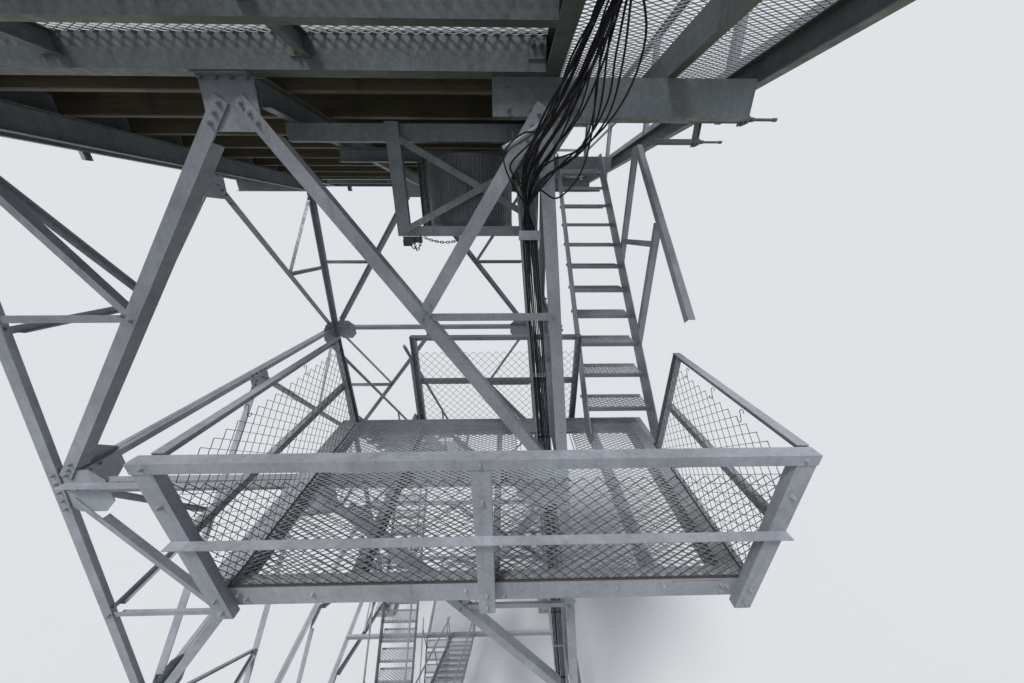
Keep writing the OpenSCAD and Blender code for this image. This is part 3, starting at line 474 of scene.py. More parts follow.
LONG_WAY = 0.076
SHORT_WAY = 0.034
STRAND_W = 0.0075
STRAND_T = 0.003
STRAND_TILT = math.radians(48)
MESH_LIFT = STRAND_W / 2 * math.sin(STRAND_TILT) + STRAND_T / 2


def strand_offsets():
    c, s = math.cos(STRAND_TILT), math.sin(STRAND_TILT)
    w, t = STRAND_W / 2, STRAND_T / 2
    return [(0, a * w * c - b * t * s, a * w * s + b * t * c)
            for a, b in ((-1, -1), (1, -1), (1, 1), (-1, 1))]


def kept_runs(points, kept):
    """Stretches of two or more neighbouring points that are kept."""
    run = []
    for p, keep in [*zip(points, kept), (None, False)]:
        if keep:
            run.append(p)
        else:
            if len(run) > 1:
                yield run
            run = []


def expanded_metal(m, x0, x1, y0, y1, z, holes=(), matrix=None):
    """Expanded metal sheet in a rectangle: zigzag strands along X, bonded to their neighbours."""
    rows = int((y1 - y0) / (SHORT_WAY / 2))
    cols = int((x1 - x0) / (LONG_WAY / 2))
    wave = SHORT_WAY / 4 - STRAND_T / 2
    offsets = strand_offsets()
    for r in range(rows):
        y = y0 + (r + 0.5) * (y1 - y0) / rows
        pts = [(x0 + i * (x1 - x0) / cols, y + (wave if (i + r) % 2 else -wave), z)
               for i in range(cols + 1)]
        kept = [not any(a < p[0] < b and c < p[1] < d for a, b, c, d in holes) for p in pts]
        for run in kept_runs(pts, kept):
            m.prism(run, offsets, matrix)


# Gap between the cab and the grating, and the edges of the stairwell in it
CAB_GAP = 0.006
WELL_IN = 0.53
WELL_FRONT = -1.23
WELL_BACK = 1.0


def walkway_gratings():
    (x0, y0, _), (x1, y1, _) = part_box("walkway_grating")
    z = BEAM_TOP + MESH_LIFT
    side = TOP_HALF + CAB_GAP
    well = (side + WELL_IN, x1 + 1, WELL_FRONT, WELL_BACK)
    for name, area in (("front", (x0, x1, y0, -side)), ("back", (x0, x1, side, y1)),
                       ("left", (x0, -side, -side, side)), ("right", (side, x1, -side, side))):
        m = Mesh()
        expanded_metal(m, *area, z, [well] if name == "right" else ())
        obj = m.make(name + "_walkway_mesh", "grating")
        if name == "front":
            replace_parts(obj, "walkway_grating")


# Square hole for the leg in the balcony's floor, from the leg's corner, and its rim
LEG_HOLE_IN = 0.43
LEG_HOLE_OUT = 0.09
HOLE_RIM = 0.006


def balcony_grating():
    (x0, y0, z0), (x1, y1, z1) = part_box("balcony_floor")
    leg = half(BAL_FLOOR)
    a, b = leg - LEG_HOLE_IN, leg + LEG_HOLE_OUT
    m = Mesh()
    expanded_metal(m, x0, x1, y0, y1, z0 + MESH_LIFT, [(a, b, -b, -a)])
    for left, front, right, back in round_opening(a, -b, b, -a, HOLE_RIM):
        m.span((left, front, z0), (right, back, z1))
    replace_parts(m.make("balcony_floor_mesh", "grating"), "balcony_floor")


# Stairs and landings

TREAD_RIM = 0.028
TREAD_LIP = 0.04
TREAD_T = 0.005
NOSE = 0.02
BACK_GAP = 0.01
MESH_LAP = 0.004
STRING_D = 0.17
UPPER_STRING_D = 0.2
UPPER_X = 2.67
UPPER_Y = 2.18
UPPER_STEPS = 12
LAND_BACK = 0.86
LAND_FRONT = 1.95
LAND_L = 1.06
LAND_BEAM_F = 0.06
LAND_JOIST_F = 0.05
LAND_SHEET = 0.01
LAND_RIM = 0.004


def flight(m, rise, run, steps, depth, hung, matrix):
    """Straight flight climbing towards +Y from the origin: stringers, and treads of mesh in a rim."""
    going, step = run / steps, rise / steps
    slope = math.atan2(rise, run)
    v = depth / math.cos(slope) / 2
    w = STAIR_W
    foot = [(0, -v)] if hung else [(v / math.tan(slope), 0), (0, 0)]
    outline = foot + [(0, v), (run - v / math.tan(slope), rise), (run, rise), (run, rise - v)]
    for x in (0, w - BEAM_T):
        m.extrude(outline, 0, x, x + BEAM_T, matrix)
    rim, lip, t = TREAD_RIM, TREAD_LIP, TREAD_T
    x0, x1 = BEAM_T + FIT, w - BEAM_T - FIT
    for i in range(1, steps):
        y0, z = i * going - NOSE, i * step
        y1 = y0 + going + BACK_GAP
        for y, s in ((y0, 1), (y1, -1)):
            angle = [(y, z - lip), (y + s * t, z - lip), (y + s * t, z - t), (y + s * rim, z - t),
                     (y + s * rim, z), (y, z)]
            m.extrude(angle[::s], 0, x0, x1, matrix)
        expanded_metal(m, x0, x1, y0 + rim - MESH_LAP, y1 - rim + MESH_LAP, z - MESH_LIFT, (), matrix)


def land_z(i):
    return i * PANEL + LAND_RISE


def tower_flights():
    """Flights between the landings, the even ones up towards the back, and the open upper one."""
    for i in range(4):
        z = land_z(i) if i else 0
        front = -LAND_FRONT if i < 3 else -BAL_BACK + FIT
        if i % 2 == 0:
            matrix = Matrix.Translation((-LANE_GAP - STAIR_W, front, z))
        else:
            matrix = (Matrix.Translation((LANE_GAP + STAIR_W, LAND_BACK, z))
                      @ Matrix.Rotation(math.pi, 4, "Z"))
        m = Mesh()
        flight(m, land_z(i + 1) - z, LAND_BACK - front, 14 if i else 15, STRING_D, i > 0, matrix)
        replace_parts(m.make(f"flight_{i + 1}_mesh_treads", "galvanised_steel"),
                    f"stair_flight_{i + 1}")
    m = Mesh()
    rise = WALK_TOP - BAL_FLOOR
    flight(m, rise - FIT, rise, UPPER_STEPS, UPPER_STRING_D, False,
           Matrix.Translation((UPPER_X, -UPPER_Y, BAL_FLOOR + FIT)))
    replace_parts(m.make("upper_flight_mesh_treads", "galvanised_steel"), "upper_stair")


def landings():
    m = Mesh()
    d = LAND_RISE - RING_UP - LAND_SHEET - FIT
    w = STAIR_W + LANE_GAP
    for i, y, s in ((1, LAND_BACK, 1), (2, LAND_FRONT, -1), (3, LAND_BACK, 1)):
        z = i * PANEL + RING_UP + FIT
        top = z + d + FIT
        far = half(z) - 0.002
        x = half(z) - 0.01
        m.extrude(channel(d, LAND_BEAM_F, s, s * (y + FIT), z), 0, -x, x)
        for j in (-1, 1):
            y0 = y + LAND_BEAM_F + 2 * FIT
            m.extrude(channel(d, LAND_JOIST_F, -j, j * w, z), 1, *sorted((s * y0, s * far)))
        y0, y1 = sorted((s * y, s * (y + LAND_L)))
        expanded_metal(m, -w, w, y0, y1, top + MESH_LIFT)
        for a, b, c, e in ((-w, w, y0, y0 + LAND_RIM), (-w, w, y1 - LAND_RIM, y1),
                           (-w, -w + LAND_RIM, y0, y1), (w - LAND_RIM, w, y0, y1)):
            m.span((a, c, top), (b, e, z + d + LAND_SHEET))
    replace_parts(m.make("landing_mesh", "galvanised_steel"), "stair_landings")


# Woven wire

WIRE_D = 0.0044
WIRE_STEP = 0.0402
WEAVE = 0.0017
FRONT_WIRE_H = 0.82
FENCE_IN = 0.052
BACK_FENCE_X0 = 0.83
BACK_FENCE_X1 = 2.62
HUNG_HIGHER = 0.03
HOOK_R = 0.016
HOOK_DROP = 0.055
HOOK_WIRE = 0.0022
HOOK_Z = BAL_FLOOR + 0.945
HOOKS = [(BAL_RIGHT - 0.048, -2.736), (BAL_RIGHT - 0.048, -3.015), (BAL_RIGHT - 0.048, -2.420),
         (BAL_LEFT + 0.048, -2.900), (BAL_LEFT + 0.048, -2.300)]
# Where the right face's brace passes the back fence: across from and to, up from and to
BRACE_HOLE = (1.36, 1.60, 0.42, 0.68)


def wire_panel(m, origin, across, width, height, hole=(0, 0, 0, 0)):
    """Chain link in the vertical plane through origin, along the unit direction across."""
    o, a = np.array(origin, float), np.array(across, float)
    n = np.array((-a[1], a[0], 0))
    cols = int(width / WIRE_STEP)
    rows = int(height / WIRE_STEP)
    for k in range(cols):
        pts = []
        kept = []
        for j in range(rows + 1):
            side = (j + k) % 2
            x, z = width / cols * (k + side), height / rows * j
            kept.append(not (hole[0] < x < hole[1] and hole[2] < z < hole[3]))
            pts.append(o + a * x + n * (WEAVE if side else -WEAVE) + np.array((0, 0, z)))
        for run in kept_runs(pts, kept):
            m.tube(run, WIRE_D / 2, 5)


def balcony_wire():
    m = Mesh()
    (x0, y0, z0), (x1, y1, z1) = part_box("balcony_fence")
    h = z1 - z0
    side_h = h + HUNG_HIGHER
    left, right = BAL_LEFT + FENCE_IN, BAL_RIGHT - FENCE_IN
    wire_panel(m, (x0, y0 + 0.002, z0), (1, 0, 0), x1 - x0, FRONT_WIRE_H)
    wire_panel(m, (left, y0 + 0.01, z0), (0, 1, 0), y1 - y0 - 0.01, side_h)
    wire_panel(m, (right, y0 + 0.01, z0), (0, 1, 0), -UPPER_Y - y0 - 0.02, side_h)
    wire_panel(m, (BACK_FENCE_X0, y1 - 0.002, z0), (1, 0, 0), BACK_FENCE_X1 - BACK_FENCE_X0,
               h - WIRE_STEP, BRACE_HOLE)
    m.span((x0 + 0.05, y0 - 0.002, z0 - 0.009), (x1 - 0.02, y0 + 0.007, z0 + 0.006))
    for x in (left, right):
        m.span((x - 0.004, y0 + 0.01, z0 - 0.002), (x + 0.004, -UPPER_Y, z0 + 0.006))
    for x, y in HOOKS:
        s_hook(m, x, y)
    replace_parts(m.make("balcony_wire_mesh", "fence_wire"), "balcony_fence")


def s_hook(m, x, y):
    """S-shaped wire hook that hangs the mesh on the top rail, in the plane of x."""
    pts = []
    for start, turn, drop in ((1.0, -1.4, 0.0), (0.6, 1.4, HOOK_DROP)):
        for j in range(17):
            a = math.pi * (start + turn * j / 16)
            pts.append((x, y + HOOK_R * math.cos(a), HOOK_Z - drop + HOOK_R * math.sin(a)))
    m.tube(pts, HOOK_WIRE, 6)


# Boards and joists under the cab

BOARDS = 30
BOARD_GAP = 0.007
END_JOINT = 0.004
JOIST_PITCH = 0.534
JOIST_T = 0.06
JOIST_WORN = 0.007


def deck_boards():
    m = Mesh()
    (x0, y0, z0), (x1, y1, z1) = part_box("cab_floor")
    pitch = (x1 - x0) / BOARDS
    for i in range(BOARDS):
        x = x0 + (i + 0.5) * pitch
        cut = y0 + (y1 - y0) * random.uniform(0.25, 0.75)
        drop = random.uniform(0, 0.002)
        for a, b in ((y0, cut - END_JOINT / 2), (cut + END_JOINT / 2, y1)):
            m.box((x, (a + b) / 2, (z0 + z1) / 2 - drop / 2),
                  (pitch - BOARD_GAP, b - a, z1 - z0 - drop))
    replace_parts(m.make("deck_boards", "planks"), "cab_floor")


def joists():
    """Timber joists with worn edges."""
    m = Mesh()
    (x0, y0, z0), (x1, y1, z1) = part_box("cab_joists")
    t, worn = JOIST_T, JOIST_WORN
    count = round((y1 - y0 - t) / JOIST_PITCH) + 1
    for i in range(count):
        y = y0 + i * JOIST_PITCH
        lift = random.uniform(0, 0.002)
        m.extrude([(y, z0 + worn), (y + worn, z0 + lift), (y + t - worn, z0 + lift),
                   (y + t, z0 + worn), (y + t, z1), (y, z1)], 0, x0, x1)
    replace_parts(m.make("worn_joists", "joist_timber"), "cab_joists")


# Ribbed drum

DRUM_RIBS = 72
RIB_SIDES = 6
RIB_DEPTH = 0.002
HOOP_H = 0.03


def drum():
    """Ribbed wall between two plain hoops, with rounded edges and a rim at either end."""
    m = Mesh()
    lo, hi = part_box("ribbed_drum")
    cx, cy = (lo[0] + hi[0]) / 2, (lo[1] + hi[1]) / 2
    r = (hi[0] - lo[0]) / 2
    edge = [(0.012, 0.6 * r), (0.012, r - 0.02), (0, r - 0.012), (0, r - 0.003), (0.004, r),
            (HOOP_H - 0.004, r), (HOOP_H, r - 0.005)]
    profile = [(lo[2] + h, h, radius) for h, radius in edge]
    profile += [(hi[2] - h, h, radius) for h, radius in reversed(edge)]
    turn = 2 * math.pi * np.arange(DRUM_RIBS * RIB_SIDES) / (DRUM_RIBS * RIB_SIDES)
    rings = []
    for z, h, radius in profile:
        out = radius + (RIB_DEPTH if h == HOOP_H else 0) * np.cos(DRUM_RIBS * turn)
        rings.append(np.stack((cx + out * np.cos(turn), cy + out * np.sin(turn),
                               np.full(len(turn), z)), axis=1))
    m.rings(rings)
    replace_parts(m.make("corrugated_drum", "drum_metal"), "ribbed_drum")


# Chains

LINK_PITCH = 0.024
LINK_LONG = 0.017
LINK_WIDE = 0.009
LINK_WIRE = 0.0034
CHAIN_X = 1.165
CHAIN_Y = -1.79
BLOCK_Y = -1.885


def chain(m, points):
    """Links of bent wire, each turned a quarter from the last, along a path."""
    path = [Vector(p) for p in curve_points(points, 24)]
    links = []
    walked = 0.0
    for a, b in zip(path, path[1:]):
        walked += (b - a).length
        if walked >= LINK_PITCH * (len(links) + 1):
            links.append((b, (b - a).normalized()))
    for i, (at, ahead) in enumerate(links):
        side, other, n = basis(ahead)
        flat = side if i % 2 else other
        ring = circle(n * LINK_LONG, flat * LINK_WIDE, 1, 10)
        m.tube([at + Vector(p) for p in ring + ring[:1]], LINK_WIRE, 5)


def chains_and_block():
    m = Mesh()
    chain(m, [(CHAIN_X, CHAIN_Y, 16.285), (CHAIN_X - 0.006, CHAIN_Y, 16.0),
              (CHAIN_X + 0.004, CHAIN_Y, 15.75), (CHAIN_X, CHAIN_Y, 15.605)])
    chain(m, [(1.12, -1.875, 15.575), (1.2, -1.88, 15.545), (1.31, -1.885, 15.53),
              (1.42, -1.88, 15.545), (1.52, -1.875, 15.577)])
    chain(m, [(1.06, -1.875, 15.575), (1.045, -1.88, 15.52), (1.06, -1.885, 15.47),
              (1.09, -1.88, 15.51), (1.1, -1.875, 15.575)])
    m.box((1.035, BLOCK_Y, 15.553), (0.15, 0.05, 0.05))
    m.box((0.985, BLOCK_Y, 15.525), (0.06, 0.044, 0.05))
    for x, z, radius, height, sides in ((1.02, 15.545, 0.034, 0.012, 20),
                                        (1.085, 15.55, 0.02, 0.008, 16)):
        m.disc((x, BLOCK_Y - 0.025, z), (0, -1, 0), radius, height, sides)
    m.tube([(1.02, BLOCK_Y, 15.512), (1.02, BLOCK_Y, 15.49), (1.035, BLOCK_Y, 15.475),
            (1.05, BLOCK_Y, 15.49)], 0.005, 6)
    m.make("drum_chains", "fence_wire")


# Cables

# Points along the bundle's route, each with how far the cables stray there
ROUTE = [(2.02, -2.1, 15.61, 0.018), (2.0, -2.105, 15.78, 0.024), (2.0, -2.18, 15.98, 0.05),
         (2.07, -2.3, 16.12, 0.085), (2.18, -2.44, 16.28, 0.105), (2.27, -2.6, 16.47, 0.1),
         (2.33, -2.78, 16.62, 0.075), (2.37, -2.96, 16.67, 0.05), (2.4, -3.09, 16.67, 0.035),
         (2.4, -3.189, 16.67, 0.022)]
# Middle points of the slack loops between the edge beam and the ladder
LOOP_TOP = [(2.4, -3.189, 16.67), (2.37, -2.96, 16.66)]
LOOP_FOOT = [(2.0, -2.105, 15.78), (2.02, -2.1, 15.61)]
LOOPS = [
    [(2.33, -2.74, 16.58), (2.22, -2.54, 16.36), (2.02, -2.44, 16.16), (1.87, -2.36, 16.03),
     (1.93, -2.3, 15.93)],
    [(2.3, -2.72, 16.55), (2.18, -2.52, 16.3), (2.0, -2.42, 16.08), (1.9, -2.34, 15.98),
     (1.97, -2.22, 15.91)],
    [(2.33, -2.7, 16.58), (2.36, -2.46, 16.24), (2.27, -2.34, 16.06), (2.12, -2.28, 15.97)],
    [(2.36, -2.7, 16.56), (2.4, -2.45, 16.28), (2.31, -2.33, 16.1), (2.14, -2.25, 15.99)],
    [(2.42, -2.62, 16.5), (2.44, -2.48, 16.34), (2.36, -2.36, 16.17), (2.2, -2.28, 16.03)],
    [(2.46, -2.62, 16.46), (2.45, -2.46, 16.26), (2.3, -2.33, 16.08), (2.1, -2.23, 15.97)],
    [(2.52, -2.74, 16.5), (2.5, -2.55, 16.3), (2.34, -2.36, 16.13), (2.1, -2.23, 16.04)],
    [(2.34, -2.62, 16.46), (2.38, -2.4, 16.2), (2.34, -2.32, 15.98), (2.2, -2.28, 15.84),
     (2.06, -2.24, 15.9)],
    [(2.3, -2.6, 16.44), (2.1, -2.36, 16.24), (1.95, -2.3, 16.22), (1.83, -2.27, 16.12),
     (1.86, -2.22, 15.98)],
]
LADDER_IN = 0.13
LADDER_MID = LADDER_IN + 0.070
LADDER_W0 = -BRACE_W - 0.050
CABLE_R = 0.0078
CABLES = 13
CABLES_ON_LADDER = 8
CABLE_PITCH = 0.0148
TIE_PITCH = 1.2


def ladder_run(c):
    across = LADDER_IN + 0.018 + c * CABLE_PITCH
    out = LADDER_W0 + FIT + CABLE_R
    return [face_matrix(0) @ Vector((heel(v) - across + random.uniform(-0.002, 0.002), v, out))
            for v in np.linspace(up(0.5), up(15.5), 14)]


def cables():
    """Black cables up the ladder, loose round the head of the leg, and into the edge beam."""
    m = Mesh()
    for c in range(CABLES):
        angle = 2 * math.pi * c / CABLES
        lag = random.uniform(-0.7, 0.7)
        pts = []
        for x, y, z, spread in ROUTE:
            a = angle + lag * len(pts)
            r = spread * random.uniform(0.45, 1.0)
            pts.append((x + r * math.cos(a), y + 0.5 * r * math.sin(a), z + 0.7 * r * math.sin(a)))
        radius = CABLE_R * random.uniform(0.6, 1.0)
        if c < CABLES_ON_LADDER:
            pts = ladder_run(c) + pts[1:]
        m.tube(curve_points(pts, 5), radius, 6)
    for loop in LOOPS:
        m.tube(curve_points(LOOP_TOP + loop + LOOP_FOOT, 6), CABLE_R * 0.75, 6)
    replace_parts(m.make("black_cables", "cable_rubber", smooth=True), "cable_bundle")


def cable_ties():
    """Ties round the cables, the clamp at the ladder's head and the box at its foot."""
    m = Mesh()
    matrix = face_matrix(0)
    for z in np.arange(1.2, 15.3, TIE_PITCH):
        for dv in (0, 0.02):
            m.box((heel(up(z)) - LADDER_MID, up(z) + dv, LADDER_W0 + 2 * CABLE_R + 0.001),
                  (0.135, 0.006, 0.003), matrix)
    for z, height, depth in ((15.6, 0.07, 0.05), (0.48, 0.13, 0.07)):
        m.box((heel(up(z)) - LADDER_MID, up(z), LADDER_W0 + depth / 2 + 0.001),
              (0.17, height, depth), matrix)
    m.make("cable_ties", "galvanised_steel")


def conduit():
    m = Mesh()
    pts = [(1.82, -2.235, 16.145), (1.94, -2.25, 16.2), (2.06, -2.29, 16.265), (2.18, -2.36, 16.34),
           (2.26, -2.45, 16.41), (2.3, -2.54, 16.47)]
    m.tube(curve_points(pts, 6), 0.021, 16)
    m.make("short_conduit", "galvanised_steel", smooth=True)


def arm_fittings():
    """Union nuts and end caps on the two thin arms."""
    m = Mesh()
    z = ARM_TOP - 0.18
    for y in (-1.97, -1.37):
        for x0, x1, r in ((3.6, 3.634, 0.031), (3.638, 3.652, 0.026), (3.668, 3.69, 0.015),
                          (3.84, 3.866, 0.0125)):
            m.tube([(x0, y, z), (x1, y, z)], r, 12)
    m.make("arm_fittings", "weathered_steel")


# Bolts of the lattice

def node_v(i):
    return up(FOOT_TOP + 0.19) if i == 0 else up(i * PANEL) + 0.045


def floor_v(i):
    return up(FOOT_TOP + 0.03) if i == 0 else up(i * PANEL + RING_UP)


def gusset_v(i):
    return up(FOOT_TOP + 0.02) + GUSSET / 2 if i == 0 else node_v(i)


def crown_z(k):
    return ARM_TOP if k % 2 == 0 else ARM_BOTTOM


def apex_v(i, k):
    return up(crown_z(k)) - 0.06 if i == PANELS - 1 else up((i + 1) * PANEL) + 0.045


def roof_v(i, k):
    if i == PANELS - 1:
        return up(crown_z(k)) - 0.02
    return up((i + 1) * PANEL + RING_UP) - RING_D


def brace_line(i, k):
    """Top joint of panel i, direction down the right-hand brace, and its start and end."""
    top = Vector((0, apex_v(i, k)))
    run = Vector((heel(node_v(i)) - LEG_W / 2, node_v(i))) - top
    d = run.normalized()
    c, s = d.x, -d.y
    start = max((top.y - roof_v(i, k) + END_GAP + BRACE_W / 2 * c) / s,
                (END_GAP + BRACE_W / 2 * s) / c)
    lean = (math.cos(TILT), math.sin(TILT))
    to_leg = ((heel(top.y) * lean[0] - LEG_W - END_GAP
               - BRACE_W / 2 * abs(s * lean[0] + c * lean[1])) / (c * lean[0] - s * lean[1]))
    to_floor = (top.y - floor_v(i) - END_GAP - BRACE_W / 2 * c) / s
    return top, d, start, min(to_leg, to_floor)


BOLT_SIZE = 0.026
SMALL_BOLT = 0.022
BOLT_PITCH = 0.072
BOLT_EDGE = 0.036
GUSSET_PITCH = 0.095
LEVEL_PITCH = 0.085


class FaceBolts:
    """Sets bolts through a face's steel: heads outside, nuts inside."""

    def __init__(self, mesh, k):
        self.mesh = mesh
        self.matrix = face_matrix(k)
        self.out = self.matrix.to_3x3() @ Vector((0, 0, 1))

    def through(self, u, v, outer=0.0, inner=None, size=BOLT_SIZE):
        self.mesh.bolt(self.matrix @ Vector((u, v, outer)), self.out, size)
        if inner is not None:
            self.mesh.bolt(self.matrix @ Vector((u, v, inner)), -self.out, size)


def panel_bolts(face, i, k, side):
    """Bolts at both ends and at the middle of one main brace."""
    top, d, start, stop = brace_line(i, k)
    for j in range(3):
        for s in (start + BOLT_EDGE + j * BOLT_PITCH, stop - BOLT_EDGE - j * BOLT_PITCH):
            p = top + d * s
            face.through(side * p.x, p.y, 0, PLATE_IN)
    mid = top + d * (start + stop) / 2
    leg = heel(mid.y) - 0.062
    inner = -LEG_T - SMALL_T
    for u, v in ((mid.x, mid.y - 0.018), (mid.x + 0.05, mid.y + 0.024),
                 (leg + 0.012, mid.y - 0.012), (leg - 0.014, mid.y + 0.014)):
        face.through(side * u, v, 0, inner, SMALL_BOLT)
    if k == 0 and i == PANELS - 1 and side > 0:
        heavy_brace_bolts(face, mid)


def heavy_brace_bolts(face, mid):
    """Bolts of the heavy upper brace at the front's right."""
    v = up(ARM_BOTTOM) + 0.06
    top = Vector((heel(v) - LEG_W / 2, v))
    way = (top - mid).normalized()
    for p in [mid + way * s for s in (0.05, 0.12)] + [top - way * s for s in (0.06, 0.14, 0.22)]:
        face.through(p.x, p.y, SMALL_T + FIT, None, 0.024)


def gusset_bolts(face, i, side):
    v0 = gusset_v(i)
    for j in range(5):
        v = v0 + (j - 2) * GUSSET_PITCH
        face.through(side * (heel(v) - LEG_W / 2 - 0.008), v, 0, PLATE_IN)


def level_bolts(face, i):
    z = i * PANEL + RING_UP
    v = up(z) - RING_D / 2
    end = heel(up(z)) - LEG_W - END_GAP
    outer, inner = -BRACE_T + BEAM_T, PLATE_IN - FIT - BEAM_T
    for side in (-1, 1):
        for j in range(3):
            face.through(side * (end - 0.04 - LEVEL_PITCH * j), v - 0.008, outer, inner)
        for u in (0.055, 0.135):
            face.through(side * u, v - 0.008, outer, inner)


def lattice_bolts():
    for k, name in enumerate(("front", "right", "back", "left")):
        m = Mesh()
        face = FaceBolts(m, k)
        for i in range(PANELS):
            for side in (-1, 1):
                panel_bolts(face, i, k, side)
                gusset_bolts(face, i, side)
        for i in range(1, PANELS):
            level_bolts(face, i)
        m.make(name + "_bolts", "galvanised_steel")


# Bolts and clips of the deck

SEAT_T = 0.01
SEAT_BOLTS = (-0.15, -0.05, 0.05, 0.15)
ARM_BOLTS = (1.86, 2.02, 2.18, 2.34)
CLIP_T = 0.008
STUBS = (-0.94, 0.58)
GUARD_POST = 0.08
GUARD_OUT = FIT + 0.050


def clip(m, low, high, bolts, normal, size=BOLT_SIZE):
    """Small plate with bolts at the given points of its face."""
    m.span(low, high)
    for p in bolts:
        m.bolt(p, normal, size)


def seat_bolts(m, s):
    """Bolts that look down from the seats on the crown plates."""
    for a in SEAT_BOLTS:
        m.bolt((a, s * (RIGGER_X - 0.05), ARM_TOP - FIT - SEAT_T), (0, 0, -1))
        m.bolt((s * (half(ARM_TOP) - 0.03), a, ARM_BOTTOM - FIT - SEAT_T), (0, 0, -1))


def arm_bolts(m, s):
    for side in (-1, 1):
        for x in ARM_BOLTS:
            for drop in (0.045, 0.175):
                m.bolt((side * x, s * half(ARM_TOP), ARM_TOP - drop), (0, s, 0))


def stub_clips(m, s):
    """Clip plates that hold the short beams to the long ones."""
    for stub in STUBS:
        x = stub - 0.045
        for y, face in ((RIGGER_X, 1), (WALK_Y - BEAM_T, -1)):
            y1 = s * (y + face * CLIP_T)
            clip(m, (stub - 0.088, s * y, BEAM_TOP - 0.115), (stub - FIT, y1, BEAM_TOP - 0.02),
                 [(x, y1, BEAM_TOP - drop) for drop in (0.045, 0.09)], (0, s * face, 0), SMALL_BOLT)


def web_clips(m, s):
    """Clip plates near the ends of the long webs, and bolts in the edge's corners."""
    for side in (-1, 1):
        y1 = s * (RIGGER_X + CLIP_T)
        clip(m, (side * 1.985, s * RIGGER_X, ARM_TOP + 0.062), (side * 2.095, y1, ARM_TOP + 0.165),
             [(side * x, y1, ARM_TOP + 0.135) for x in (2.015, 2.065)], (0, s, 0))
        for z in (0.05, 0.13):
            m.bolt((side * WALK_X, s * (WALK_Y - 0.035), ARM_TOP + z), (side, 0, 0))


def deck_bolts():
    m = Mesh()
    for s in (-1, 1):
        for part in (seat_bolts, arm_bolts, stub_clips, web_clips):
            part(m, s)
    m.make("deck_bolts", "weathered_steel")


def guard_bolts():
    """Two bolts in the foot of each post of the walkway's guard rail."""
    m = Mesh()
    w = GUARD_POST
    x, y = WALK_X + GUARD_OUT, WALK_Y + GUARD_OUT
    for s in (-1, 1):
        for i in range(5):
            across = -x + w / 2 + i * (2 * x - w) / 4
            along = -WALK_Y + w / 2 + i * (2 * WALK_Y - w) / 4
            for z in (WALK_TOP - 0.055, WALK_TOP - 0.15):
                m.bolt((across, s * y, z), (0, s, 0), SMALL_BOLT)
                m.bolt((s * x, along, z), (s, 0, 0), SMALL_BOLT)
    m.make("guard_bolts", "galvanised_steel")


# Bolts of the balcony, and painted shade for its channel's holes

# Places of the front channel's bolts, across and from the floor
CHANNEL_BOLTS = ((0.175, -0.07), (0.205, -0.12), (0.62, -0.09), (1.57, -0.08), (1.81, -0.13),
                 (2.52, -0.08), (2.82, -0.075), (3.185, -0.065), (3.225, -0.085), (3.2, -0.135))
POST_BOLTS = (0.72, -0.045, -0.165)
BACK_BOLTS = (0.9, 1.55, 2.45, 2.56)
RAIL_HEIGHTS = (0.97, 0.445)
HOLES_FROM = 2.87
HOLE_PITCH = 0.0195


def balcony_bolts():
    m = Mesh()
    front = (0, -1, 0)
    y = -BAL_FRONT
    web = y + 0.05
    w = BAL_RIGHT - BAL_LEFT + 0.05
    posts = [BAL_LEFT + p for p in (0, w / 2 - 0.05, w - 0.1)]
    for x in posts:
        for z in POST_BOLTS:
            m.bolt((x, y, BAL_FLOOR + z), front, 0.02)
    for x, z in CHANNEL_BOLTS:
        m.bolt((x, web, BAL_FLOOR + z), front, 0.02)
    for x in BACK_BOLTS:
        m.bolt((x, -BAL_BACK, BAL_FLOOR - 0.1), (0, 1, 0), SMALL_BOLT)
    for z in RAIL_HEIGHTS:
        for x in (posts[0] + 0.02, posts[1], posts[2] - 0.02):
            m.bolt((x, y - 0.006, BAL_FLOOR + z), front, 0.014)
    m.make("balcony_bolts", "galvanised_steel")
    # Dark discs on the web paint the shade seen in the front channel's holes
    holes = Mesh()
    for j in range(17):
        holes.disc((HOLES_FROM + j * HOLE_PITCH, web, BAL_FLOOR - 0.032), front, 0.0042, 0.0006, 8)
    holes.make("channel_hole_shades", "fence_wire")


ANCHOR_IN = 0.12


def anchor_bolts():
    m = Mesh()
    b = half(FOOT_TOP) - 0.1
    clear = half(FOOT_TOP) - LEG_W
    corners = [(sx, sy) for sx in (-1, 1) for sy in (-1, 1)]
    for sx, sy in corners:
        for dx, dy in corners:
            x, y = sx * b + dx * ANCHOR_IN, sy * b + dy * ANCHOR_IN
            if max(abs(x), abs(y)) < clear or min(dx * sx, dy * sy) > 0:
                m.tube([(x, y, FOOT_TOP), (x, y, FOOT_TOP + 0.06)], 0.011, 10)
                m.bolt((x, y, FOOT_TOP), (0, 0, 1), 0.036)
    m.make("anchor_bolts", "galvanised_steel")


# Cab

CAB_HALF = TOP_HALF
WALL_T = 0.1
WALL_H = 2.15
SILL_H = 0.9
WINDOW_H = 1.08
MULLION = 0.09
CORNER = 0.18
DOOR_W = 0.76
DOOR_H = 2.0
EAVE = 0.45
ROOF_RISE = 0.76
ROOF_T = 0.06
TRIM_T = 0.016
DRIP = 0.012
SILL_OUT = 0.045
CORNER_BOARD = 0.1
CASING = 0.07
BOARD_H = 0.1085
BOARD_FOOT = 0.02
BOARD_HEAD = 0.004
SASH_Y0 = 0.028
SASH_Y1 = 0.046
SASH_W = 0.042
BAR = 0.011


def cab_side(k):
    """Matrix of side k, with X along the wall from its middle, -Y out and Z up from the floor."""
    return (Matrix.Rotation(math.pi / 2 * k, 4, "Z")
            @ Matrix.Translation((0, -CAB_HALF, FLOOR_TOP + FIT)))


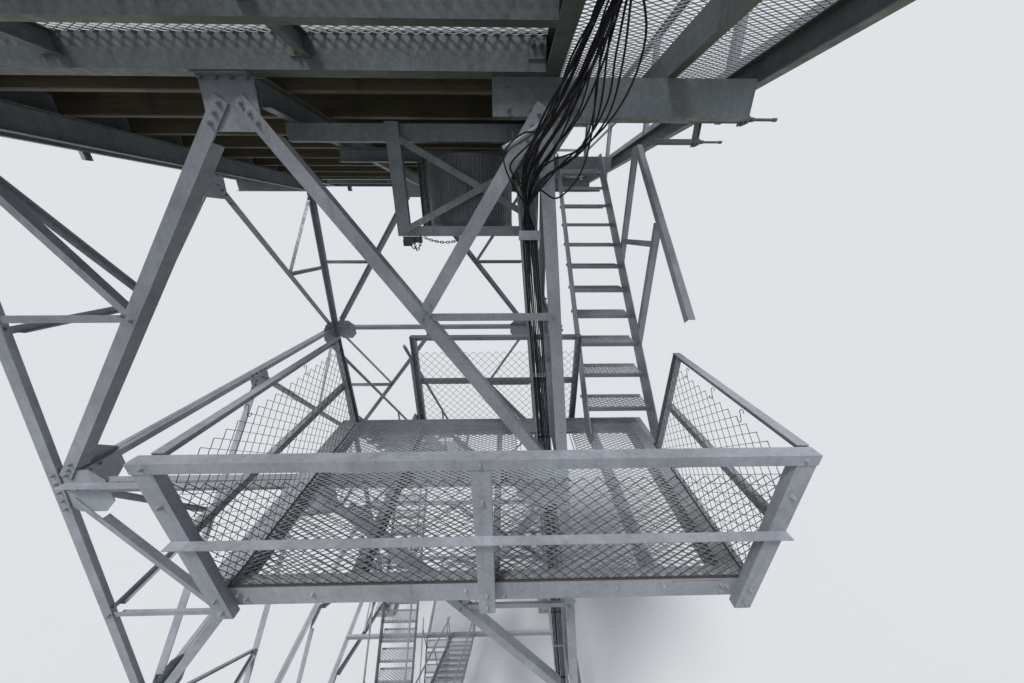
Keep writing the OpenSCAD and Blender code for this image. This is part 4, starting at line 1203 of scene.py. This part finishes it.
def cab_layout(k):
    """Half length of wall k, its windows and its doorway, measured from the middle."""
    length = 2 * CAB_HALF if k % 2 == 0 else 2 * (CAB_HALF - WALL_T - FIT)
    corner = CORNER if k % 2 == 0 else CORNER - WALL_T
    w = (length - 2 * corner - 3 * MULLION) / 4
    windows = [(corner + i * (w + MULLION) - length / 2, w) for i in range(4)]
    door = None
    if k == 1:
        door = length / 2 - corner - DOOR_W - 0.02
        windows = windows[:3]
    return length / 2, windows, door


def lap_boards(m, x0, x1, height, matrix):
    """Overlapping boards, thicker at their lower edges."""
    count = round(height / BOARD_H)
    h = height / count
    for i in range(count):
        z, top = i * h, (i + 1) * h + BOARD_HEAD
        m.extrude([(0, z), (-BOARD_FOOT, z), (-BOARD_HEAD, top), (0, top)], 0, x0, x1, matrix)


def cab_siding():
    m = Mesh()
    end = CAB_HALF - 0.004
    for k in range(4):
        door = cab_layout(k)[2]
        spans = [(-end, end)]
        if door is not None:
            spans = [(-end, door - CASING), (door + DOOR_W + CASING, end)]
        for a, b in spans:
            lap_boards(m, a, b, SILL_H - 0.055, cab_side(k))
    m.make("cab_siding", "cab_paint")


def cab_trim():
    """Corner boards, sill, head and the boards between the windows; even sides cover the corners."""
    m = Mesh()
    head = SILL_H + WINDOW_H
    sill = SILL_H - 0.015
    inner = CAB_HALF - CORNER_BOARD
    lap = 0.006
    for k in range(4):
        _, windows, door = cab_layout(k)
        wraps = 1 if k % 2 == 0 else 0
        far, drip, ledge, board = (CAB_HALF + wraps * out for out in
                                   (TRIM_T, TRIM_T + DRIP, SILL_OUT, TRIM_T + 0.004))
        stops = [-inner] + [e for x, w in windows for e in (x + lap, x + w - lap)]
        stops.append(inner if door is None else door - CASING)
        strips = [(-ledge, ledge if door is None else stops[-1], SILL_OUT, SILL_H - 0.055, sill),
                  (-far, far, TRIM_T, head + 0.045, WALL_H),
                  (-drip, drip, TRIM_T + DRIP, head + 0.02, head + 0.045)]
        strips += [(s * inner, s * board, TRIM_T + 0.004, 0, head + 0.02) for s in (-1, 1)]
        strips += [(a, b, TRIM_T, sill, head + 0.02) for a, b in zip(stops[::2], stops[1::2])]
        if door is not None:
            strips += [(x, x + CASING + 0.002, TRIM_T + 0.006, 0, DOOR_H + 0.01)
                       for x in (door - CASING, door + DOOR_W - 0.002)]
            m.span((door - CASING, -0.03, -0.0002), (door + DOOR_W + CASING, 0.018, 0.018),
                   cab_side(k))
        for a, b, out, low, high in strips:
            m.span((a, -out, low), (b, 0, high), cab_side(k))
    m.make("cab_trim", "cab_paint")


def window_bars():
    """Sashes in the window openings, with bars between the lights."""
    m = Mesh()
    c, d = SILL_H, SILL_H + WINDOW_H
    for k in range(4):
        for a, w in cab_layout(k)[1]:
            b, mid = a + w, a + w / 2
            sash = round_opening(a + SASH_W, c + SASH_W, b - SASH_W, d - SASH_W, SASH_W)
            bars = [(0, *bar) for bar in sash] + [(0.003, mid - BAR, c, mid + BAR, d)]
            for z in (c + WINDOW_H / 3, c + WINDOW_H * 2 / 3):
                bars.append((0.005, a, z - BAR, b, z + BAR))
            for back, x0, z0, x1, z1 in bars:
                m.span((x0, SASH_Y0 + back, z0), (x1, SASH_Y1, z1), cab_side(k))
            m.span((a, -0.03, c - 0.012), (b, SASH_Y0, c + 0.006), cab_side(k))
    m.make("window_bars", "cab_paint")


LEAF_Y = 0.02
LIGHT_IN = 0.13
LIGHT_Z = (0.963, 1.763)
LIGHT_FRAME = 0.03
HINGES = (0.25, 1.0, 1.75)


def door_details():
    """Rails and panel of the door leaf, and the frame of its light."""
    m = Mesh()
    door = cab_layout(1)[2]
    x0, x1 = door + LIGHT_IN, door + DOOR_W - LIGHT_IN - 0.006
    f = LIGHT_FRAME
    bars = round_opening(x0, LIGHT_Z[0], x1, LIGHT_Z[1], f) + [(x0, 1.355, x1, 1.375)]
    bars = [(*bar, -0.012, 0.015) for bar in bars]
    bars += [(x0 - f, 0.14, x1 + f, 0.84, -0.008, 0), (x0 + 0.01, 0.18, x1 - 0.01, 0.8, -0.014, -0.006),
             (door + FIT + 0.005, 0.008, door + DOOR_W - 0.008, 0.11, -0.004, 0)]
    for a, c, b, d, out, back in bars:
        m.span((a, LEAF_Y + out, c), (b, LEAF_Y + back, d), cab_side(1))
    m.make("door_panels", "door_paint")


def door_hinges():
    m = Mesh()
    x = cab_layout(1)[2] + DOOR_W - 0.003
    for z in HINGES:
        pin = [cab_side(1) @ Vector((x - 0.012, LEAF_Y - 0.008, z + dz)) for dz in (-0.05, 0.05)]
        m.tube(pin, 0.009, 10)
        m.span((x - 0.05, LEAF_Y - 0.003, z - 0.045), (x - 0.012, LEAF_Y, z + 0.045), cab_side(1))
    m.make("door_hinges", "weathered_steel")


ROOF_TOP = 0.1
SEAM_PITCH = 0.38
SEAM_W = 0.009
SEAM_H = 0.026
EDGE_T = 0.006


def roof_seams():
    """Standing seams up each slope, caps on the hips and an edge strip round the eaves."""
    m = Mesh()
    z0 = FLOOR_TOP + WALL_H + 2 * FIT + ROOF_T
    h = CAB_HALF + EAVE
    slope = ROOF_RISE / (h - ROOF_TOP)
    w = SEAM_W
    seam = [(-w, 0, -0.004), (w, 0, -0.004), (w * 0.7, 0, SEAM_H), (-w * 0.7, 0, SEAM_H)]
    hip = [(-0.045, 0.045, -0.004), (0.045, -0.045, -0.004), (0.012, -0.012, 0.03),
           (-0.012, 0.012, 0.03)]
    for k in range(4):
        matrix = Matrix.Rotation(math.pi / 2 * k, 4, "Z")
        for j in range(-6, 7):
            x = j * SEAM_PITCH
            inner = max(abs(x) + 0.02, ROOF_TOP)
            pts = [(x, -h + 0.004, z0 + 0.001), (x, -inner, z0 + (h - inner) * slope)]
            m.prism(pts, seam, matrix)
        m.prism([(-h, -h, z0), (-ROOF_TOP, -ROOF_TOP, z0 + ROOF_RISE)], hip, matrix)
        edge = h + (EDGE_T if k % 2 == 0 else 0)
        m.span((-edge, -h - EDGE_T, z0 - ROOF_T - 0.02), (edge, -h, z0 + 0.004), matrix)
    m.span((-0.14, -0.14, z0 + ROOF_RISE - 0.01), (0.14, 0.14, z0 + ROOF_RISE + 0.012))
    m.make("roof_seams", "roof_sheet")


walkway_gratings()
balcony_grating()
tower_flights()
landings()
balcony_wire()
deck_boards()
joists()
drum()
chains_and_block()
cables()
cable_ties()
conduit()
arm_fittings()
lattice_bolts()
deck_bolts()
guard_bolts()
balcony_bolts()
anchor_bolts()
cab_siding()
cab_trim()
window_bars()
door_details()
door_hinges()
roof_seams()


# Floor and light

WORLD_LIGHT = (0.33, 0.355, 0.4)
SUN_POWER = 2.6
SUN_TURN = (math.radians(20), math.radians(-20), 0)
SUN_ANGLE = math.radians(14)
# Tone of the floor as the camera sees it, and as it throws light back up
FLOOR_SEEN = 0.7
FLOOR_BOUNCE = 0.22
FLOOR_SIZE = 700
FLOOR_DROP = 0.002


def floor_tone():
    """Colour that the lit floor shows, which the background repeats."""
    sun = SUN_POWER * math.cos(SUN_TURN[0]) * math.cos(SUN_TURN[1]) / math.pi
    return tuple(FLOOR_SEEN * (c + sun) for c in WORLD_LIGHT)


def make_floor():
    t = Tree("studio_floor")
    shade = t.mix(t.noise(0.2, 2), (FLOOR_SEEN,) * 3, (FLOOR_SEEN * 0.995,) * 3)
    t.bsdf["Specular IOR Level"].default_value = 0
    t.finish(t.mix(t.seen_rays(), (FLOOR_BOUNCE,) * 3, shade), 1.0)
    bpy.ops.mesh.primitive_plane_add(size=FLOOR_SIZE, location=(0, 0, -FLOOR_DROP))
    floor = bpy.context.object
    floor.name = "studio_floor"
    floor.data.materials.append(t.mat)


def make_light():
    world = bpy.data.worlds.new("studio")
    bpy.context.scene.world = world
    world.use_nodes = True
    n = Nodes(world.node_tree)
    sky = n.node("ShaderNodeBackground", {"Color": WORLD_LIGHT})[0]
    backdrop = n.node("ShaderNodeBackground", {"Color": floor_tone()})[0]
    light = n.node("ShaderNodeMixShader", {0: n.seen_rays(), 1: sky, 2: backdrop})[0]
    n.put(n.tree.nodes["World Output"].inputs["Surface"], light)
    sun = bpy.data.lights.new("key", "SUN")
    sun.energy = SUN_POWER
    sun.angle = SUN_ANGLE
    key = bpy.data.objects.new("key", sun)
    key.rotation_euler = SUN_TURN
    bpy.context.scene.collection.objects.link(key)


make_floor()
make_light()
bpy.context.scene.view_settings.view_transform = "Standard"
